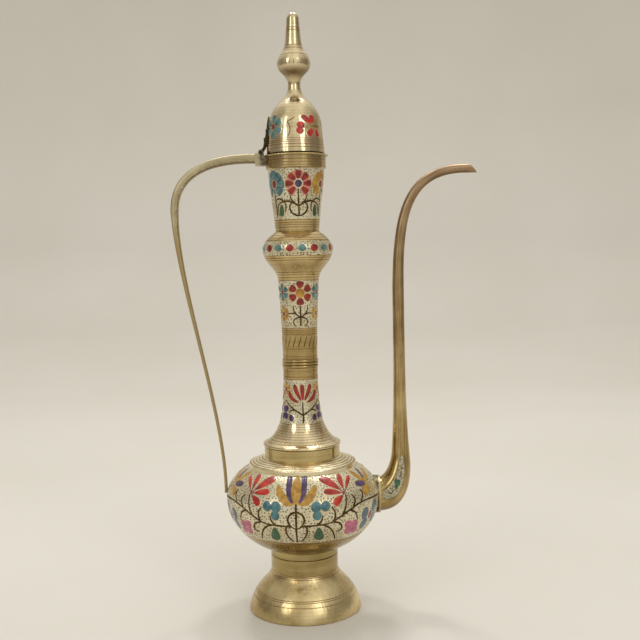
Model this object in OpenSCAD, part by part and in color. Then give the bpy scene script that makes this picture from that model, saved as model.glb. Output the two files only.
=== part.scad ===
// Surahi: a tall lidded brass ewer on a bell foot, with a round belly, a slim neck,
// a swan-neck spout and a long bowed handle that carries the hinge of the lid.
// Millimetres. +Z is up and the origin is on the vessel's axis at the table.
// The spout points to +X and the handle to -X.

/* [Metal] */
// Wall of the turned shells
wall = 1.4; // [1:0.1:1.8]
// Wall of the cast foot
foot_wall = 2.2; // [1.8:0.1:3]
// Wall of a spigot
spigot_wall = 1.2; // [0.8:0.1:1.5]
// Length of a spigot below its joint
spigot_len = 4; // [2.5:0.5:6]
// Radial gap that solder fills in a joint
solder_gap = 0.1; // [0.05:0.05:0.2]

/* [Foot] */
// Radius of the foot on the table
foot_r = 43.8; // [38:0.2:52]
// Height of the foot up to its joint
foot_h = 43.7; // [38:0.1:52]
// Radius of the foot's upright band and of the ring above it
foot_top_r = 26.2; // [23:0.1:30]
// Height of the upright band
foot_band_h = 10.7; // [6:0.1:14]
// Rounding of the foot's lower edge
foot_round = 0.8; // [0.4:0.1:1.2]
// Height of the plain ring between the foot and the belly
base_ring_h = 5; // [4:0.1:8]
// Wall of that ring
base_ring_wall = 2.6; // [2:0.1:4]

/* [Belly] */
// Largest radius of the belly
belly_r = 59.6; // [54:0.2:68]
// Depth of the half ellipse below the widest line
belly_low_h = 46; // [40:0.5:54]
// Height of the half ellipse above the widest line
belly_high_h = 32.5; // [28:0.5:40]
// Radius of the belly's mouth, under the collar
belly_mouth_r = 24; // [20:0.5:26]

/* [Shoulder collar] */
// Radius of the collar's flange
flange_r = 41.5; // [36:0.5:46]
// Height of the flange's edge above the belly
flange_edge_h = 3.2; // [2:0.1:5]
// Rise of the flange from its edge to the band
flange_rise = 4.2; // [3:0.1:7]
// Rounding of the flange's edge
flange_round = 0.8; // [0.3:0.1:1.2]
// Radius of the collar's upright band
band_r = 29.3; // [27:0.1:33]
// Height of the upright band
band_h = 8.1; // [5:0.1:12]

/* [Neck] */
// Radius of the rolled lip under the skirt
skirt_r = 30.2; // [29:0.1:36]
// Height of the rolled lip
lip_h = 3; // [2:0.1:4]
// Radius of the neck at the ferrule
neck_r = 13.4; // [12:0.1:16]
// Height of the lower neck with its skirt
neck_low_h = 61.2; // [50:0.2:75]
// Radius of the ferrule
ferrule_r = 14.1; // [13.9:0.1:17.5]
// Height of the ferrule
ferrule_h = 6.6; // [5:0.1:10]
// Height of the upper neck
neck_high_h = 60.9; // [45:0.1:75]
// Radius of the neck under the knop
neck_top_r = 15.8; // [14.5:0.1:18]

/* [Knop] */
// Largest radius of the knop
knop_r = 27; // [23:0.1:32]
// Height of the knop below its widest line
knop_low_h = 23.5; // [18:0.1:28]
// Height of the knop above its widest line
knop_high_h = 13.5; // [10:0.1:18]

/* [Mouth cup] */
// Radius of the cup where it leaves the knop
cup_low_r = 16.8; // [15.5:0.1:19]
// Radius of the cup under its rim band
cup_high_r = 21.6; // [20.5:0.1:22.4]
// Height of the cup
cup_h = 58; // [45:0.1:70]
// Radius of the rim band
rim_r = 23; // [22.8:0.1:24]
// Height of the rim band
rim_h = 11; // [8:0.1:15]
// Radius of the thin lip on the rim
rim_lip_r = 24.8; // [24.2:0.1:26.5]
// Thickness of the thin lip
rim_lip_t = 1.2; // [0.8:0.1:2]
// Radius of the mouth's opening
mouth_r = 20.8; // [19.8:0.1:21.2]

/* [Lid] */
// Radius of the lid where it rests on the rim
lid_r = 22.2; // [21.8:0.1:22.8]
// Height of the lid's upright side
lid_side_h = 20; // [17:0.1:24]
// Drawing-in of that side over its height
lid_taper = 1.8; // [0.6:0.1:3]
// Height of the dome above the side
lid_dome_h = 21.7; // [17:0.1:26]
// Radius of the dome's crown, where the finial stands
crown_r = 9.7; // [8:0.1:12]
// Depth of the bezel below the lid's edge
bezel_drop = 3; // [2:0.1:4]
// Height of the bezel inside the lid
bezel_rise = 5; // [3:0.1:7]
// Radial gap between the bezel and the mouth
bezel_gap = 0.6; // [0.5:0.05:0.8]

/* [Finial] */
// Height of the finial's spread base
finial_base_h = 12; // [9:0.1:15]
// Radius of the waist under the bead
waist_r = 4.7; // [3.8:0.1:6]
// Radius of the bead
bead_r = 12.5; // [10:0.1:15]
// Height of the bead below its widest line
bead_low_h = 15.3; // [12:0.1:19]
// Height of the bead above its widest line
bead_high_h = 14.8; // [12:0.1:19]
// Radius of the spire's foot
spire_r = 6.5; // [5.6:0.1:8]
// Radius of the spire under its tip
spire_tip_r = 4.8; // [3.5:0.1:5.5]
// Height of the spire
spire_h = 18.2; // [12:0.1:26]
// Height of the rounded tip
tip_h = 5.5; // [3:0.1:8]
// Radius of the stud that holds the finial
stud_r = 2.5; // [2:0.1:3.2]

/* [Hinge] */
// Radius of the hinge pin
pin_r = 0.9; // [0.7:0.05:1.1]
// Running clearance on the pin
pin_gap = 0.05; // [0.03:0.01:0.08]
// Radius of the knuckles
knuckle_r = 2.2; // [1.9:0.1:2.5]
// Length of the leaf's knuckle
knuckle_len = 4.8; // [4:0.1:6]
// Gap at each side of the leaf's knuckle
knuckle_gap = 0.3; // [0.2:0.05:0.5]
// Width of the bracket across both outer knuckles
bracket_w = 11; // [9.6:0.1:13]
// Height of the bracket on the cup
bracket_h = 7; // [6:0.1:8.4]
// Distance of the pin outside the rim's lip
hinge_out = 1.8; // [1.5:0.1:2.6]
// Height of the pin above the rim
hinge_up = 2.3; // [2:0.1:3]
// Thickness of the leaf at its root
leaf_root_t = 2.6; // [2:0.1:3.2]
// Thickness of the leaf at its tip
leaf_t = 1.3; // [1:0.1:1.8]
// Largest width of the leaf
leaf_w = 9; // [7.5:0.1:11]
// Height of the leaf's tip above the pin
leaf_h = 27.4; // [24:0.1:30]
// Radius of the leaf's rivets
rivet_r = 0.9; // [0.7:0.05:1.1]

/* [Handle] */
// Reach of the handle's middle line from the vessel's axis
handle_reach = 93.7; // [85:0.1:105]
// Thickness of the handle at the bracket
handle_top_t = 7.2; // [6:0.1:7.6]
// Thickness of the handle round the bow
handle_bow_t = 6; // [5:0.1:7]
// Thickness of the handle at its tail
handle_tail_t = 2.3; // [1.8:0.1:3]
// Width of the handle at the bracket
handle_top_w = 9; // [7:0.1:9.4]
// Width of the handle at its tail
handle_tail_w = 5.6; // [4:0.1:7]
// Height of the bow's outermost point below the rim
handle_bow_drop = 41.5; // [34:0.1:50]
// Length of the leaf-shaped foot on the belly
pad_len = 17; // [13:0.5:22]
// Thickness of that foot
pad_t = 1.5; // [1.2:0.1:2]

/* [Spout] */
// Radius of the spout at the belly
spout_root_r = 13.2; // [11.5:0.1:15]
// Radius of the spout above its elbow
spout_knee_r = 7.1; // [6:0.1:8.5]
// Radius of the spout under its crook
spout_run_r = 4.5; // [4:0.1:5.5]
// Radius of the spout at its beak
spout_tip_r = 3.4; // [3:0.1:3.9]
// Wall of the spout
spout_wall = 1; // [0.7:0.1:1.3]
// Drop of the spout's root below the widest line of the belly
spout_drop = 1.8; // [0:0.1:5]
// Distance of the upright run from the belly
spout_stand = 17.4; // [15:0.1:24]
// Height of the elbow above the root
elbow_h = 31.8; // [26:0.1:40]
// Height of the crook, from its start to the beak
crook_h = 90.5; // [70:0.5:110]
// Reach of the beak past the upright run
spout_reach = 59; // [50:0.5:75]
// Height of the beak's middle below the rim
beak_drop = 12; // [5:0.5:30]
// Length of the beak's slanted cut
beak_len = 6; // [2:0.1:8]
// Radius of the ring where the spout meets the belly
spout_flange_r = 14.6; // [13.9:0.1:17]

/* [Hidden] */

round_fn = 96;
small_fn = 32;
curve_steps = 12;
// Height over which a spigot's root thickens its own shell
spigot_root = 2;
// A cut runs this far past the face that it opens
cut_over = 1;

// Levels of the stacked pieces, each from the one below
belly_z = foot_h + base_ring_h + belly_low_h * sqrt(1 - pow(foot_top_r / belly_r, 2));
collar_z = belly_z + belly_high_h * sqrt(1 - pow(flange_r / belly_r, 2));
flange_top_z = collar_z + flange_edge_h;
band_z = flange_top_z + flange_rise;
skirt_z = band_z + band_h;
ferrule_z = skirt_z + neck_low_h;
neck_z = ferrule_z + ferrule_h;
knop_z = neck_z + neck_high_h;
knop_mid_z = knop_z + knop_low_h;
cup_z = knop_mid_z + knop_high_h;
rim_z = cup_z + cup_h;
lid_dome_z = rim_z + lid_side_h;
crown_z = lid_dome_z + lid_dome_h;
waist_z = crown_z + finial_base_h;
bead_z = waist_z + bead_low_h;
spire_z = bead_z + bead_high_h;
tip_z = spire_z + spire_h;

// Colours
brass = [0.80, 0.66, 0.36];
pale_brass = [0.86, 0.75, 0.47];
dark_brass = [0.58, 0.45, 0.24];

// Points and outlines, as [radius, height] or [x, z]

function mix(a, b, share) = a + (b - a) * share;

function bezier(a, b, c, d, t) =
    a * pow(1 - t, 3) + b * 3 * t * pow(1 - t, 2) + c * 3 * t * t * (1 - t) + d * pow(t, 3);

function curve(a, b, c, d, steps = curve_steps) = [for (i = [0:steps]) bezier(a, b, c, d, i / steps)];

function arc(centre, r, from, to, steps = 6) =
    [for (i = [0:steps]) centre + r * [cos(mix(from, to, i / steps)), sin(mix(from, to, i / steps))]];

function ellipse_arc(r, h, z, from, to, steps) =
    [for (i = [0:steps]) [r * cos(mix(from, to, i / steps)), z + h * sin(mix(from, to, i / steps))]];

function reversed(points) = [for (i = [len(points) - 1:-1:0]) points[i]];

function after_first(points) = [for (i = [1:1:len(points) - 1]) points[i]];

function radius_at(points, z) = lookup(z, [for (p = points) [p.y, p.x]]);

// Change of radius for each step of height, at one point of a rising curve
function flare(points, i) =
    let (
        below = points[max(i - 1, 0)],
        above = points[min(i + 1, len(points) - 1)]
    )
    (above.x - below.x) / (above.y - below.y);

// The inner face of a shell: set in far enough that the wall measures thick square to the curve
function skin(points, thick) =
    [for (i = [0:len(points) - 1]) [points[i].x - thick * sqrt(1 + pow(flare(points, i), 2)), points[i].y]];

// The stretch of a shell's inner face between two heights, from the top down
function lining(points, thick, low, high) =
    let (inside = skin(points, thick))
    concat(
        [[radius_at(inside, high), high]],
        reversed([for (p = inside) if (p.y > low + 0.01 && p.y < high - 0.01) p]),
        [[radius_at(inside, low), low]]
    );

// A spigot that drops below a joint: its outline from its inner lower corner to the joint
function spigot_below(r, joint_z, drop) =
    [[r - spigot_wall, joint_z - drop], [r, joint_z - drop], [r, joint_z]];

// A spigot that rises above a joint: its outline from the joint to its inner root
function spigot_above(r, joint_z, rise) =
    [
        [r, joint_z], [r, joint_z + rise],
        [r - spigot_wall, joint_z + rise], [r - spigot_wall, joint_z - spigot_root]
    ];

module revolve(points) {
    rotate_extrude($fn = round_fn) polygon(points);
}

// A side outline in X and Z made into a plate of some width along Y
module plate(points, width) {
    rotate([90, 0, 0]) linear_extrude(height = width, center = true) polygon(points);
}

// A front outline in Y and Z carried along X
module slab(points, from_x, to_x) {
    translate([from_x, 0, 0]) rotate([90, 0, 90]) linear_extrude(height = to_x - from_x) polygon(points);
}

module rod_along_x(r, from_x, to_x, z) {
    translate([from_x, 0, z]) rotate([0, 90, 0]) cylinder(r = r, h = to_x - from_x, $fn = small_fn);
}

// Foot

base_ring_bore = foot_top_r - base_ring_wall;
foot_spigot_r = base_ring_bore - solder_gap;
// Room between the foot's spigot and the bowl above it
foot_spigot_room = 0.4;
foot_flare_h = foot_h - foot_band_h;

function bowl_z(r) = belly_z - belly_low_h * sqrt(1 - pow(r / belly_r, 2));

function foot_outer() = concat(
    curve(
        [foot_r, 0], [mix(foot_r, foot_top_r, 0.19), foot_flare_h * 0.64],
        [foot_top_r, foot_flare_h * 0.72], [foot_top_r, foot_flare_h]
    ),
    [[foot_top_r, foot_h]]
);

module foot() {
    outer = foot_outer();
    spigot_rise = bowl_z(foot_spigot_r - spigot_wall) - foot_spigot_room - foot_h;
    color(brass) revolve(concat(
        arc([foot_r - foot_round, foot_round], foot_round, -90, 0),
        [for (p = outer) if (p.y > foot_round) p],
        spigot_above(foot_spigot_r, foot_h, spigot_rise),
        lining(outer, foot_wall, 0, foot_h - spigot_root)
    ));
}

module base_ring() {
    color(pale_brass) difference() {
        revolve([
            [base_ring_bore, foot_h], [foot_top_r, foot_h],
            [foot_top_r, belly_z], [base_ring_bore, belly_z]
        ]);
        belly_body();
    }
}

// Belly

belly_steps = 20;
dome_end = acos(belly_mouth_r / belly_r);
dome_end_inside = acos(belly_mouth_r / (belly_r - wall));
// Length of the lap where the dome slips into the bowl
belly_lap = 4;

function bowl_outer() = ellipse_arc(belly_r, belly_low_h, belly_z, -90, 0, belly_steps);

function dome_outer() = ellipse_arc(belly_r, belly_high_h, belly_z, 0, dome_end, belly_steps);

function bowl_inner_r(z) = (belly_r - wall) * sqrt(1 - pow((belly_z - z) / (belly_low_h - wall), 2));

belly_lap_r = bowl_inner_r(belly_z - belly_lap) - solder_gap;

// The belly as a solid, to seat on it and to cut against
module belly_body() {
    revolve(concat(
        bowl_outer(), after_first(dome_outer()), [[0, belly_z + belly_high_h * sin(dome_end)]]
    ));
}

module spout_port() {
    rod_along_x(port_r, 0, belly_r + cut_over, spout_z);
}

module belly_bowl() {
    color(pale_brass) difference() {
        revolve(concat(
            bowl_outer(), ellipse_arc(belly_r - wall, belly_low_h - wall, belly_z, 0, -90, belly_steps)
        ));
        spout_port();
    }
}

module belly_dome() {
    inner = ellipse_arc(belly_r - wall, belly_high_h - wall, belly_z, dome_end_inside, 0, belly_steps);
    root_z = belly_z + spigot_root;
    color(pale_brass) difference() {
        revolve(concat(
            spigot_below(belly_lap_r, belly_z, belly_lap),
            dome_outer(),
            [for (p = inner) if (p.y > root_z) p],
            [[belly_lap_r - spigot_wall, root_z]]
        ));
        spout_port();
    }
}

// Shoulder collar

band_bore = band_r - wall;
// Angle that the flange's rounded edge turns through
flange_edge_turn = 80;

module shoulder_collar() {
    color(brass) difference() {
        revolve(concat(
            [[band_bore, belly_z], [flange_r, belly_z]],
            arc([flange_r - flange_round, flange_top_z - flange_round], flange_round, 0, flange_edge_turn),
            [[band_r, band_z], [band_r, skirt_z], [band_bore, skirt_z]]
        ));
        belly_body();
    }
}

// Neck

neck_bore = neck_r - wall;
neck_spigot_r = neck_bore - solder_gap;
// Drawing-in of the skirt's upper edge from the rolled lip
skirt_edge_r = skirt_r - 0.75 * lip_h;

function skirt_outer() = concat(
    [[skirt_edge_r, skirt_z]],
    curve(
        [skirt_edge_r, skirt_z + lip_h], [neck_r + 1, skirt_z + neck_low_h * 0.2],
        [neck_r, skirt_z + neck_low_h * 0.5], [neck_r, ferrule_z], 20
    )
);

module neck_lower() {
    outer = skirt_outer();
    spigot_r = band_bore - solder_gap;
    color(brass) revolve(concat(
        spigot_below(spigot_r, skirt_z, spigot_len),
        arc([skirt_r - lip_h / 2, skirt_z + lip_h / 2], lip_h / 2, -90, 90, 8),
        after_first(outer),
        spigot_above(neck_spigot_r, ferrule_z, ferrule_h + spigot_len),
        lining(outer, wall, skirt_z + spigot_root, ferrule_z - spigot_root),
        [[spigot_r - spigot_wall, skirt_z + spigot_root]]
    ));
}

// The ferrule's face has three rolled beads
module neck_ferrule() {
    roll_r = ferrule_h / 6;
    roll_turn = 75;
    color(dark_brass) revolve(concat(
        [[neck_bore, ferrule_z]],
        [
            for (i = [0:2])
            let (middle = [ferrule_r - roll_r, ferrule_z + (2 * i + 1) * roll_r])
            for (p = arc(middle, roll_r, -roll_turn, roll_turn)) p
        ],
        [[neck_bore, neck_z]]
    ));
}

function neck_outer() = curve(
    [neck_r, neck_z], [neck_r, neck_z + neck_high_h * 0.3],
    [mix(neck_r, neck_top_r, 0.4), neck_z + neck_high_h * 0.7], [neck_top_r, knop_z]
);

module neck_upper() {
    color(brass) revolve(concat(neck_outer(), lining(neck_outer(), wall, neck_z, knop_z)));
}

// Knop

function knop_outer() = concat(
    curve(
        [neck_top_r, knop_z], [neck_top_r + 0.4, knop_z + knop_low_h * 0.38],
        [knop_r - 0.5, knop_z + knop_low_h * 0.51], [knop_r, knop_mid_z]
    ),
    after_first(curve(
        [knop_r, knop_mid_z], [knop_r, knop_mid_z + knop_high_h * 0.41],
        [mix(cup_low_r, knop_r, 0.55), knop_mid_z + knop_high_h * 0.7], [cup_low_r, cup_z]
    ))
);

module neck_knop() {
    spigot_r = radius_at(skin(neck_outer(), wall), knop_z - spigot_len) - solder_gap;
    color(brass) revolve(concat(
        spigot_below(spigot_r, knop_z, spigot_len),
        knop_outer(),
        lining(knop_outer(), wall, knop_z + spigot_root, cup_z),
        [[spigot_r - spigot_wall, knop_z + spigot_root]]
    ));
}

// Mouth cup

rim_low_z = rim_z - rim_h;

function cup_side() = curve(
    [cup_low_r, cup_z], [mix(cup_low_r, cup_high_r, 0.25), cup_z + (cup_h - rim_h) * 0.33],
    [mix(cup_low_r, cup_high_r, 0.75), cup_z + (cup_h - rim_h) * 0.7], [cup_high_r, rim_low_z]
);

function cup_outer() = concat(
    cup_side(),
    [[rim_r, rim_low_z + (rim_r - cup_high_r) / 2], [rim_r, rim_z - rim_lip_t]],
    [[rim_lip_r, rim_z - rim_lip_t], [rim_lip_r, rim_z]]
);

// The cup as a solid, to seat the hinge bracket on
module cup_body() {
    revolve(concat([[0, cup_z]], cup_outer(), [[0, rim_z]]));
}

module mouth_cup() {
    spigot_r = radius_at(skin(knop_outer(), wall), cup_z) - solder_gap;
    color(brass) revolve(concat(
        spigot_below(spigot_r, cup_z, spigot_len),
        cup_outer(),
        [[mouth_r, rim_z], [mouth_r, rim_low_z]],
        lining(cup_side(), wall, cup_z + spigot_root, rim_low_z),
        [[spigot_r - spigot_wall, cup_z + spigot_root]]
    ));
}

// Lid

stud_hole_r = stud_r + solder_gap;
lid_top_r = lid_r - lid_taper;

function lid_side() = curve(
    [lid_r, rim_z], [mix(lid_r, lid_top_r, 0.15), rim_z + lid_side_h * 0.33],
    [mix(lid_r, lid_top_r, 0.65), rim_z + lid_side_h * 0.67], [lid_top_r, lid_dome_z], 6
);

function lid_outer() = concat(
    lid_side(),
    after_first(curve(
        [lid_top_r, lid_dome_z], [lid_top_r, lid_dome_z + lid_dome_h * 0.36],
        [mix(lid_top_r, crown_r, 0.27), lid_dome_z + lid_dome_h * 0.7], [crown_r, crown_z]
    ))
);

// The lid as a solid, to seat the leaf on
module lid_body() {
    revolve(concat([[0, rim_z]], lid_outer(), [[0, crown_z]]));
}

module lid_dome() {
    color(brass) difference() {
        revolve(concat(
            lid_outer(),
            [[stud_hole_r, crown_z], [stud_hole_r, crown_z - wall]],
            lining(lid_outer(), wall, rim_z, crown_z - wall)
        ));
        rivet_holes();
    }
}

bezel_r = mouth_r - bezel_gap;

// The bezel's upper part spreads to the lid's inner face, its lower part centres the lid in the mouth
module lid_bezel() {
    seat_r = radius_at(skin(lid_outer(), wall), rim_z + bezel_rise) - solder_gap;
    color(dark_brass) revolve([
        [bezel_r - spigot_wall, rim_z - bezel_drop], [bezel_r, rim_z - bezel_drop],
        [bezel_r, rim_z], [seat_r, rim_z + bezel_rise],
        [bezel_r - spigot_wall, rim_z + bezel_rise]
    ]);
}

// Finial

washer_t = 1.5;
stud_head_h = 1.2;
washer_z = crown_z - wall - washer_t;

function finial_outer() = concat(
    curve(
        [crown_r, crown_z], [mix(waist_r, crown_r, 0.3), crown_z + finial_base_h * 0.32],
        [waist_r, crown_z + finial_base_h * 0.57], [waist_r, waist_z]
    ),
    after_first(curve(
        [waist_r, waist_z], [waist_r + 0.2, waist_z + bead_low_h * 0.51],
        [bead_r - 0.3, waist_z + bead_low_h * 0.58], [bead_r, bead_z]
    )),
    after_first(curve(
        [bead_r, bead_z], [bead_r, bead_z + bead_high_h * 0.44],
        [spire_r + 0.9, bead_z + bead_high_h * 0.54], [spire_r, spire_z]
    )),
    after_first(curve(
        [spire_r, spire_z], [mix(spire_r, spire_tip_r, 0.5), spire_z + spire_h * 0.3],
        [mix(spire_r, spire_tip_r, 0.8), spire_z + spire_h * 0.7], [spire_tip_r, tip_z], 4
    )),
    after_first(ellipse_arc(spire_tip_r, tip_h, tip_z, 0, 90, 8))
);

module lid_finial() {
    color(pale_brass) revolve(concat(
        [
            [0, washer_z - stud_head_h], [stud_r + stud_head_h, washer_z - stud_head_h],
            [stud_r + stud_head_h, washer_z], [stud_r, washer_z], [stud_r, crown_z]
        ],
        finial_outer()
    ));
}

module finial_washer() {
    washer_r = 2.2 * stud_r;
    color(dark_brass) revolve([
        [stud_hole_r, washer_z], [washer_r, washer_z],
        [washer_r, washer_z + washer_t], [stud_hole_r, washer_z + washer_t]
    ]);
}

// Hinge

hinge_x = -(rim_lip_r + hinge_out);
hinge_z = rim_z + hinge_up;
// Room round the leaf's knuckle
swing_gap = 0.35;
bracket_top_z = hinge_z - knuckle_r - swing_gap;
bracket_low_z = bracket_top_z - bracket_h;
bracket_back_x = hinge_x - 2 * knuckle_r;
// Room between the handle's end and the leaf when the lid is open
handle_room = 0.6;
handle_z = hinge_z - handle_room - handle_top_t / 2;
leaf_low_z = hinge_z + 3 * knuckle_r;
leaf_top_z = hinge_z + leaf_h;
rivet_zs = [leaf_low_z + 0.12 * leaf_h, leaf_low_z + 0.36 * leaf_h];
// How deep the leaf's outline starts under the lid's face, and how far its tip stands off it
leaf_sink = 1;
leaf_lift = 0.5;

module along_pin(r, from_y, to_y) {
    translate([hinge_x, to_y, hinge_z])
    rotate([90, 0, 0])
    cylinder(r = r, h = to_y - from_y, $fn = small_fn);
}

module pin_hole() {
    along_pin(pin_r + pin_gap, -bracket_w, bracket_w);
}

function lid_r_at(z) = radius_at(lid_outer(), z);

// The leaf's inner edge sinks under the lid's face at its foot and stands off it at its tip
function leaf_inner_r(z) =
    let (up = (z - leaf_low_z) / (leaf_top_z - leaf_low_z))
    lid_r_at(z) + mix(-leaf_sink, leaf_lift, pow(up, 2));

// The leaf thins from its root to about the middle of its height
function leaf_outer_r(z) =
    let (up = (z - leaf_low_z) / (leaf_top_z - leaf_low_z))
    max(lid_r_at(z), leaf_inner_r(z)) + mix(leaf_root_t, leaf_t, min(1, 2 * up));

function leaf_heights(steps = 10) = [for (i = [0:steps]) mix(leaf_low_z, leaf_top_z, i / steps)];

module leaf_side() {
    plate(concat(
        [[hinge_x + 0.75 * knuckle_r, hinge_z], [hinge_x - 0.75 * knuckle_r, hinge_z]],
        [[hinge_x + 0.85 * knuckle_r, hinge_z + 1.9 * knuckle_r]],
        [for (z = leaf_heights()) [-leaf_outer_r(z), z]],
        reversed([for (z = leaf_heights()) [-leaf_inner_r(z), z]]),
        [[hinge_x + 2 * knuckle_r, hinge_z + 2 * knuckle_r]]
    ), leaf_w + 2 * cut_over);
}

// The leaf seen from behind the lid: narrow at the knuckle, widest above the lower rivet, pointed on top
module leaf_front() {
    side = concat(
        [[knuckle_len / 2, hinge_z - knuckle_r], [knuckle_len / 2, leaf_low_z - knuckle_r]],
        curve(
            [knuckle_len / 2, leaf_low_z - knuckle_r], [leaf_w / 2, leaf_low_z],
            [leaf_w * 0.68, leaf_top_z - leaf_h * 0.3], [0, leaf_top_z]
        )
    );
    slab(
        concat([for (p = side) p], reversed([for (p = side) if (p.x > 0) [-p.x, p.y]])),
        hinge_x - 2 * knuckle_r, 0
    );
}

module rivet_holes() {
    for (z = rivet_zs)
    rod_along_x(rivet_r + pin_gap, -lid_r_at(z) - 2 * leaf_root_t, -lid_r_at(z) + 3 * wall, z);
}

module hinge_leaf() {
    color(brass) difference() {
        union() {
            intersection() {
                leaf_side();
                leaf_front();
            }
            along_pin(knuckle_r, -knuckle_len / 2, knuckle_len / 2);
        }
        lid_body();
        pin_hole();
        rivet_holes();
    }
}

// The room under the lid, a fit clear of its inner face
module lid_room() {
    revolve(concat([[0, rim_z]], skin(lid_outer(), wall + pin_gap), [[0, crown_z]]));
}

// Each rivet's outer head is cut to the leaf's face and its inner head to the lid's
module leaf_rivets() {
    head_r = 1.8 * rivet_r;
    head_h = 0.7;
    color(dark_brass) for (z = rivet_zs) {
        outside = -leaf_outer_r(z) - head_h;
        inside = -radius_at(skin(lid_outer(), wall), z) + head_h;
        rod_along_x(rivet_r, outside, inside, z);
        difference() {
            rod_along_x(head_r, outside, outside + 2 * head_h, z);
            translate([-pin_gap, 0, 0]) leaf_side();
        }
        intersection() {
            rod_along_x(head_r, inside - 2 * head_h, inside, z);
            lid_room();
        }
    }
}

// A saddle on the cup with two knuckles, notched for the leaf, and a heel as high as the handle's end
module hinge_bracket() {
    slot = knuckle_len / 2 + knuckle_gap;
    heel_z = handle_z + handle_top_t / 2;
    color(brass) difference() {
        union() {
            plate([
                [bracket_back_x, bracket_low_z], [0.5 * hinge_x, bracket_low_z],
                [0.5 * hinge_x, bracket_top_z], [bracket_back_x, bracket_top_z]
            ], bracket_w);
            plate([
                [bracket_back_x, bracket_low_z], [hinge_x + knuckle_r, bracket_low_z],
                [hinge_x + knuckle_r, hinge_z], [hinge_x - knuckle_r, hinge_z],
                [hinge_x - knuckle_r, heel_z], [bracket_back_x, heel_z]
            ], bracket_w);
            along_pin(knuckle_r, -bracket_w / 2, bracket_w / 2);
        }
        cup_body();
        plate([
            [bracket_back_x - cut_over, bracket_top_z], [hinge_x + knuckle_r + cut_over, bracket_top_z],
            [hinge_x + knuckle_r + cut_over, hinge_z + 2 * knuckle_r],
            [bracket_back_x - cut_over, hinge_z + 2 * knuckle_r]
        ], 2 * slot);
        pin_hole();
    }
}

module hinge_pin() {
    head_r = 1.6 * pin_r;
    head_h = 0.6;
    end = bracket_w / 2;
    color(dark_brass) {
        along_pin(pin_r, -end - head_h, end + head_h);
        along_pin(head_r, end + 0.02, end + head_h);
        along_pin(head_r, -end - head_h, -end - 0.02);
    }
}

// Handle

handle_sides = 16;
bow_z = rim_z - handle_bow_drop;
pad_z = belly_z + 0.1 * pad_len;
tail_z = belly_z + 0.15 * pad_len;
tail_x = -(belly_r + 0.25 * handle_tail_t);

function handle_bow() = curve(
    [bracket_back_x, handle_z], [mix(bracket_back_x, -handle_reach, 0.46), handle_z + 0.8],
    [-handle_reach, mix(bow_z, handle_z, 0.86)], [-handle_reach, bow_z], 18
);

function handle_run() = curve(
    [-handle_reach, bow_z], [-handle_reach, mix(bow_z, tail_z, 0.25)],
    [tail_x + 1, mix(bow_z, tail_z, 0.72)], [tail_x, tail_z], 20
);

// Stations of the handle as [x, z, thickness, width]
function handle_stations() =
    let (bow = handle_bow(), run = handle_run(), last = len(bow) - 1, end = len(run) - 1)
    concat(
        [
            for (i = [0:last])
            [bow[i].x, bow[i].y, mix(handle_top_t, handle_bow_t, i / last), handle_top_w]
        ],
        [
            for (i = [1:end])
            [
                run[i].x, run[i].y, mix(handle_tail_t, handle_bow_t, pow(1 - i / end, 4)),
                mix(handle_top_w, handle_tail_w, sqrt(i / end))
            ]
        ]
    );

// Unit direction of a path of stations at one of them
function heading(path, i) =
    let (
        a = path[max(i - 1, 0)],
        b = path[min(i + 1, len(path) - 1)],
        step = [b[0] - a[0], b[1] - a[1]]
    )
    step / norm(step);

// One ring round a path: half_t across the path in its plane, half_w along Y, both from the middle line
function ring(path, i, half_t, half_w, sides, along) =
    let (dir = along == undef ? heading(path, i) : along)
    [
        for (k = [0:sides - 1])
        let (turn = 360 * k / sides, off = half_t * cos(turn))
        [path[i][0] - dir.y * off, half_w * sin(turn), path[i][1] + dir.x * off]
    ];

// Triangles between one ring of points and the next
function band_faces(first, next, sides, outward) = [
    for (k = [0:sides - 1])
    let (a = first + k, b = first + (k + 1) % sides, c = next + k, d = next + (k + 1) % sides)
    for (face = outward ? [[a, b, c], [b, d, c]] : [[a, c, b], [b, c, d]]) face
];

// Triangles of a whole swept skin, from the ring that begins at point start
function skin_faces(start, rings, sides, outward) = [
    for (i = [0:rings - 2])
    for (face = band_faces(start + i * sides, start + (i + 1) * sides, sides, outward)) face
];

function cap_face(start, sides) = [for (k = [0:sides - 1]) start + k];

module handle_bar() {
    path = handle_stations();
    rings = len(path);
    points = [
        for (i = [0:rings - 1])
        for (p = ring(path, i, path[i][2] / 2, path[i][3] / 2, handle_sides, i == 0 ? [-1, 0] : undef)) p
    ];
    polyhedron(points = points, faces = concat(
        [reversed(cap_face(0, handle_sides))],
        skin_faces(0, rings, handle_sides, true),
        [cap_face((rings - 1) * handle_sides, handle_sides)]
    ));
}

// The handle's foot: a thin leaf that lies on the belly, where two circles cross
module handle_pad() {
    half_w = 0.32 * pad_len;
    leaf_r = (pow(pad_len / 2, 2) + pow(half_w, 2)) / (2 * half_w);
    intersection() {
        revolve(concat(
            ellipse_arc(belly_r + pad_t, belly_low_h + pad_t, belly_z, -90, 0, belly_steps),
            after_first(ellipse_arc(belly_r + pad_t, belly_high_h + pad_t, belly_z, 0, 90, belly_steps))
        ));
        translate([0, leaf_r - half_w, 0]) rod_along_x(leaf_r, -2 * belly_r, -0.5 * belly_r, pad_z);
        translate([0, half_w - leaf_r, 0]) rod_along_x(leaf_r, -2 * belly_r, -0.5 * belly_r, pad_z);
    }
}

module handle() {
    color(brass) difference() {
        union() {
            handle_bar();
            handle_pad();
        }
        belly_body();
    }
}

// Spout

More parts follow.
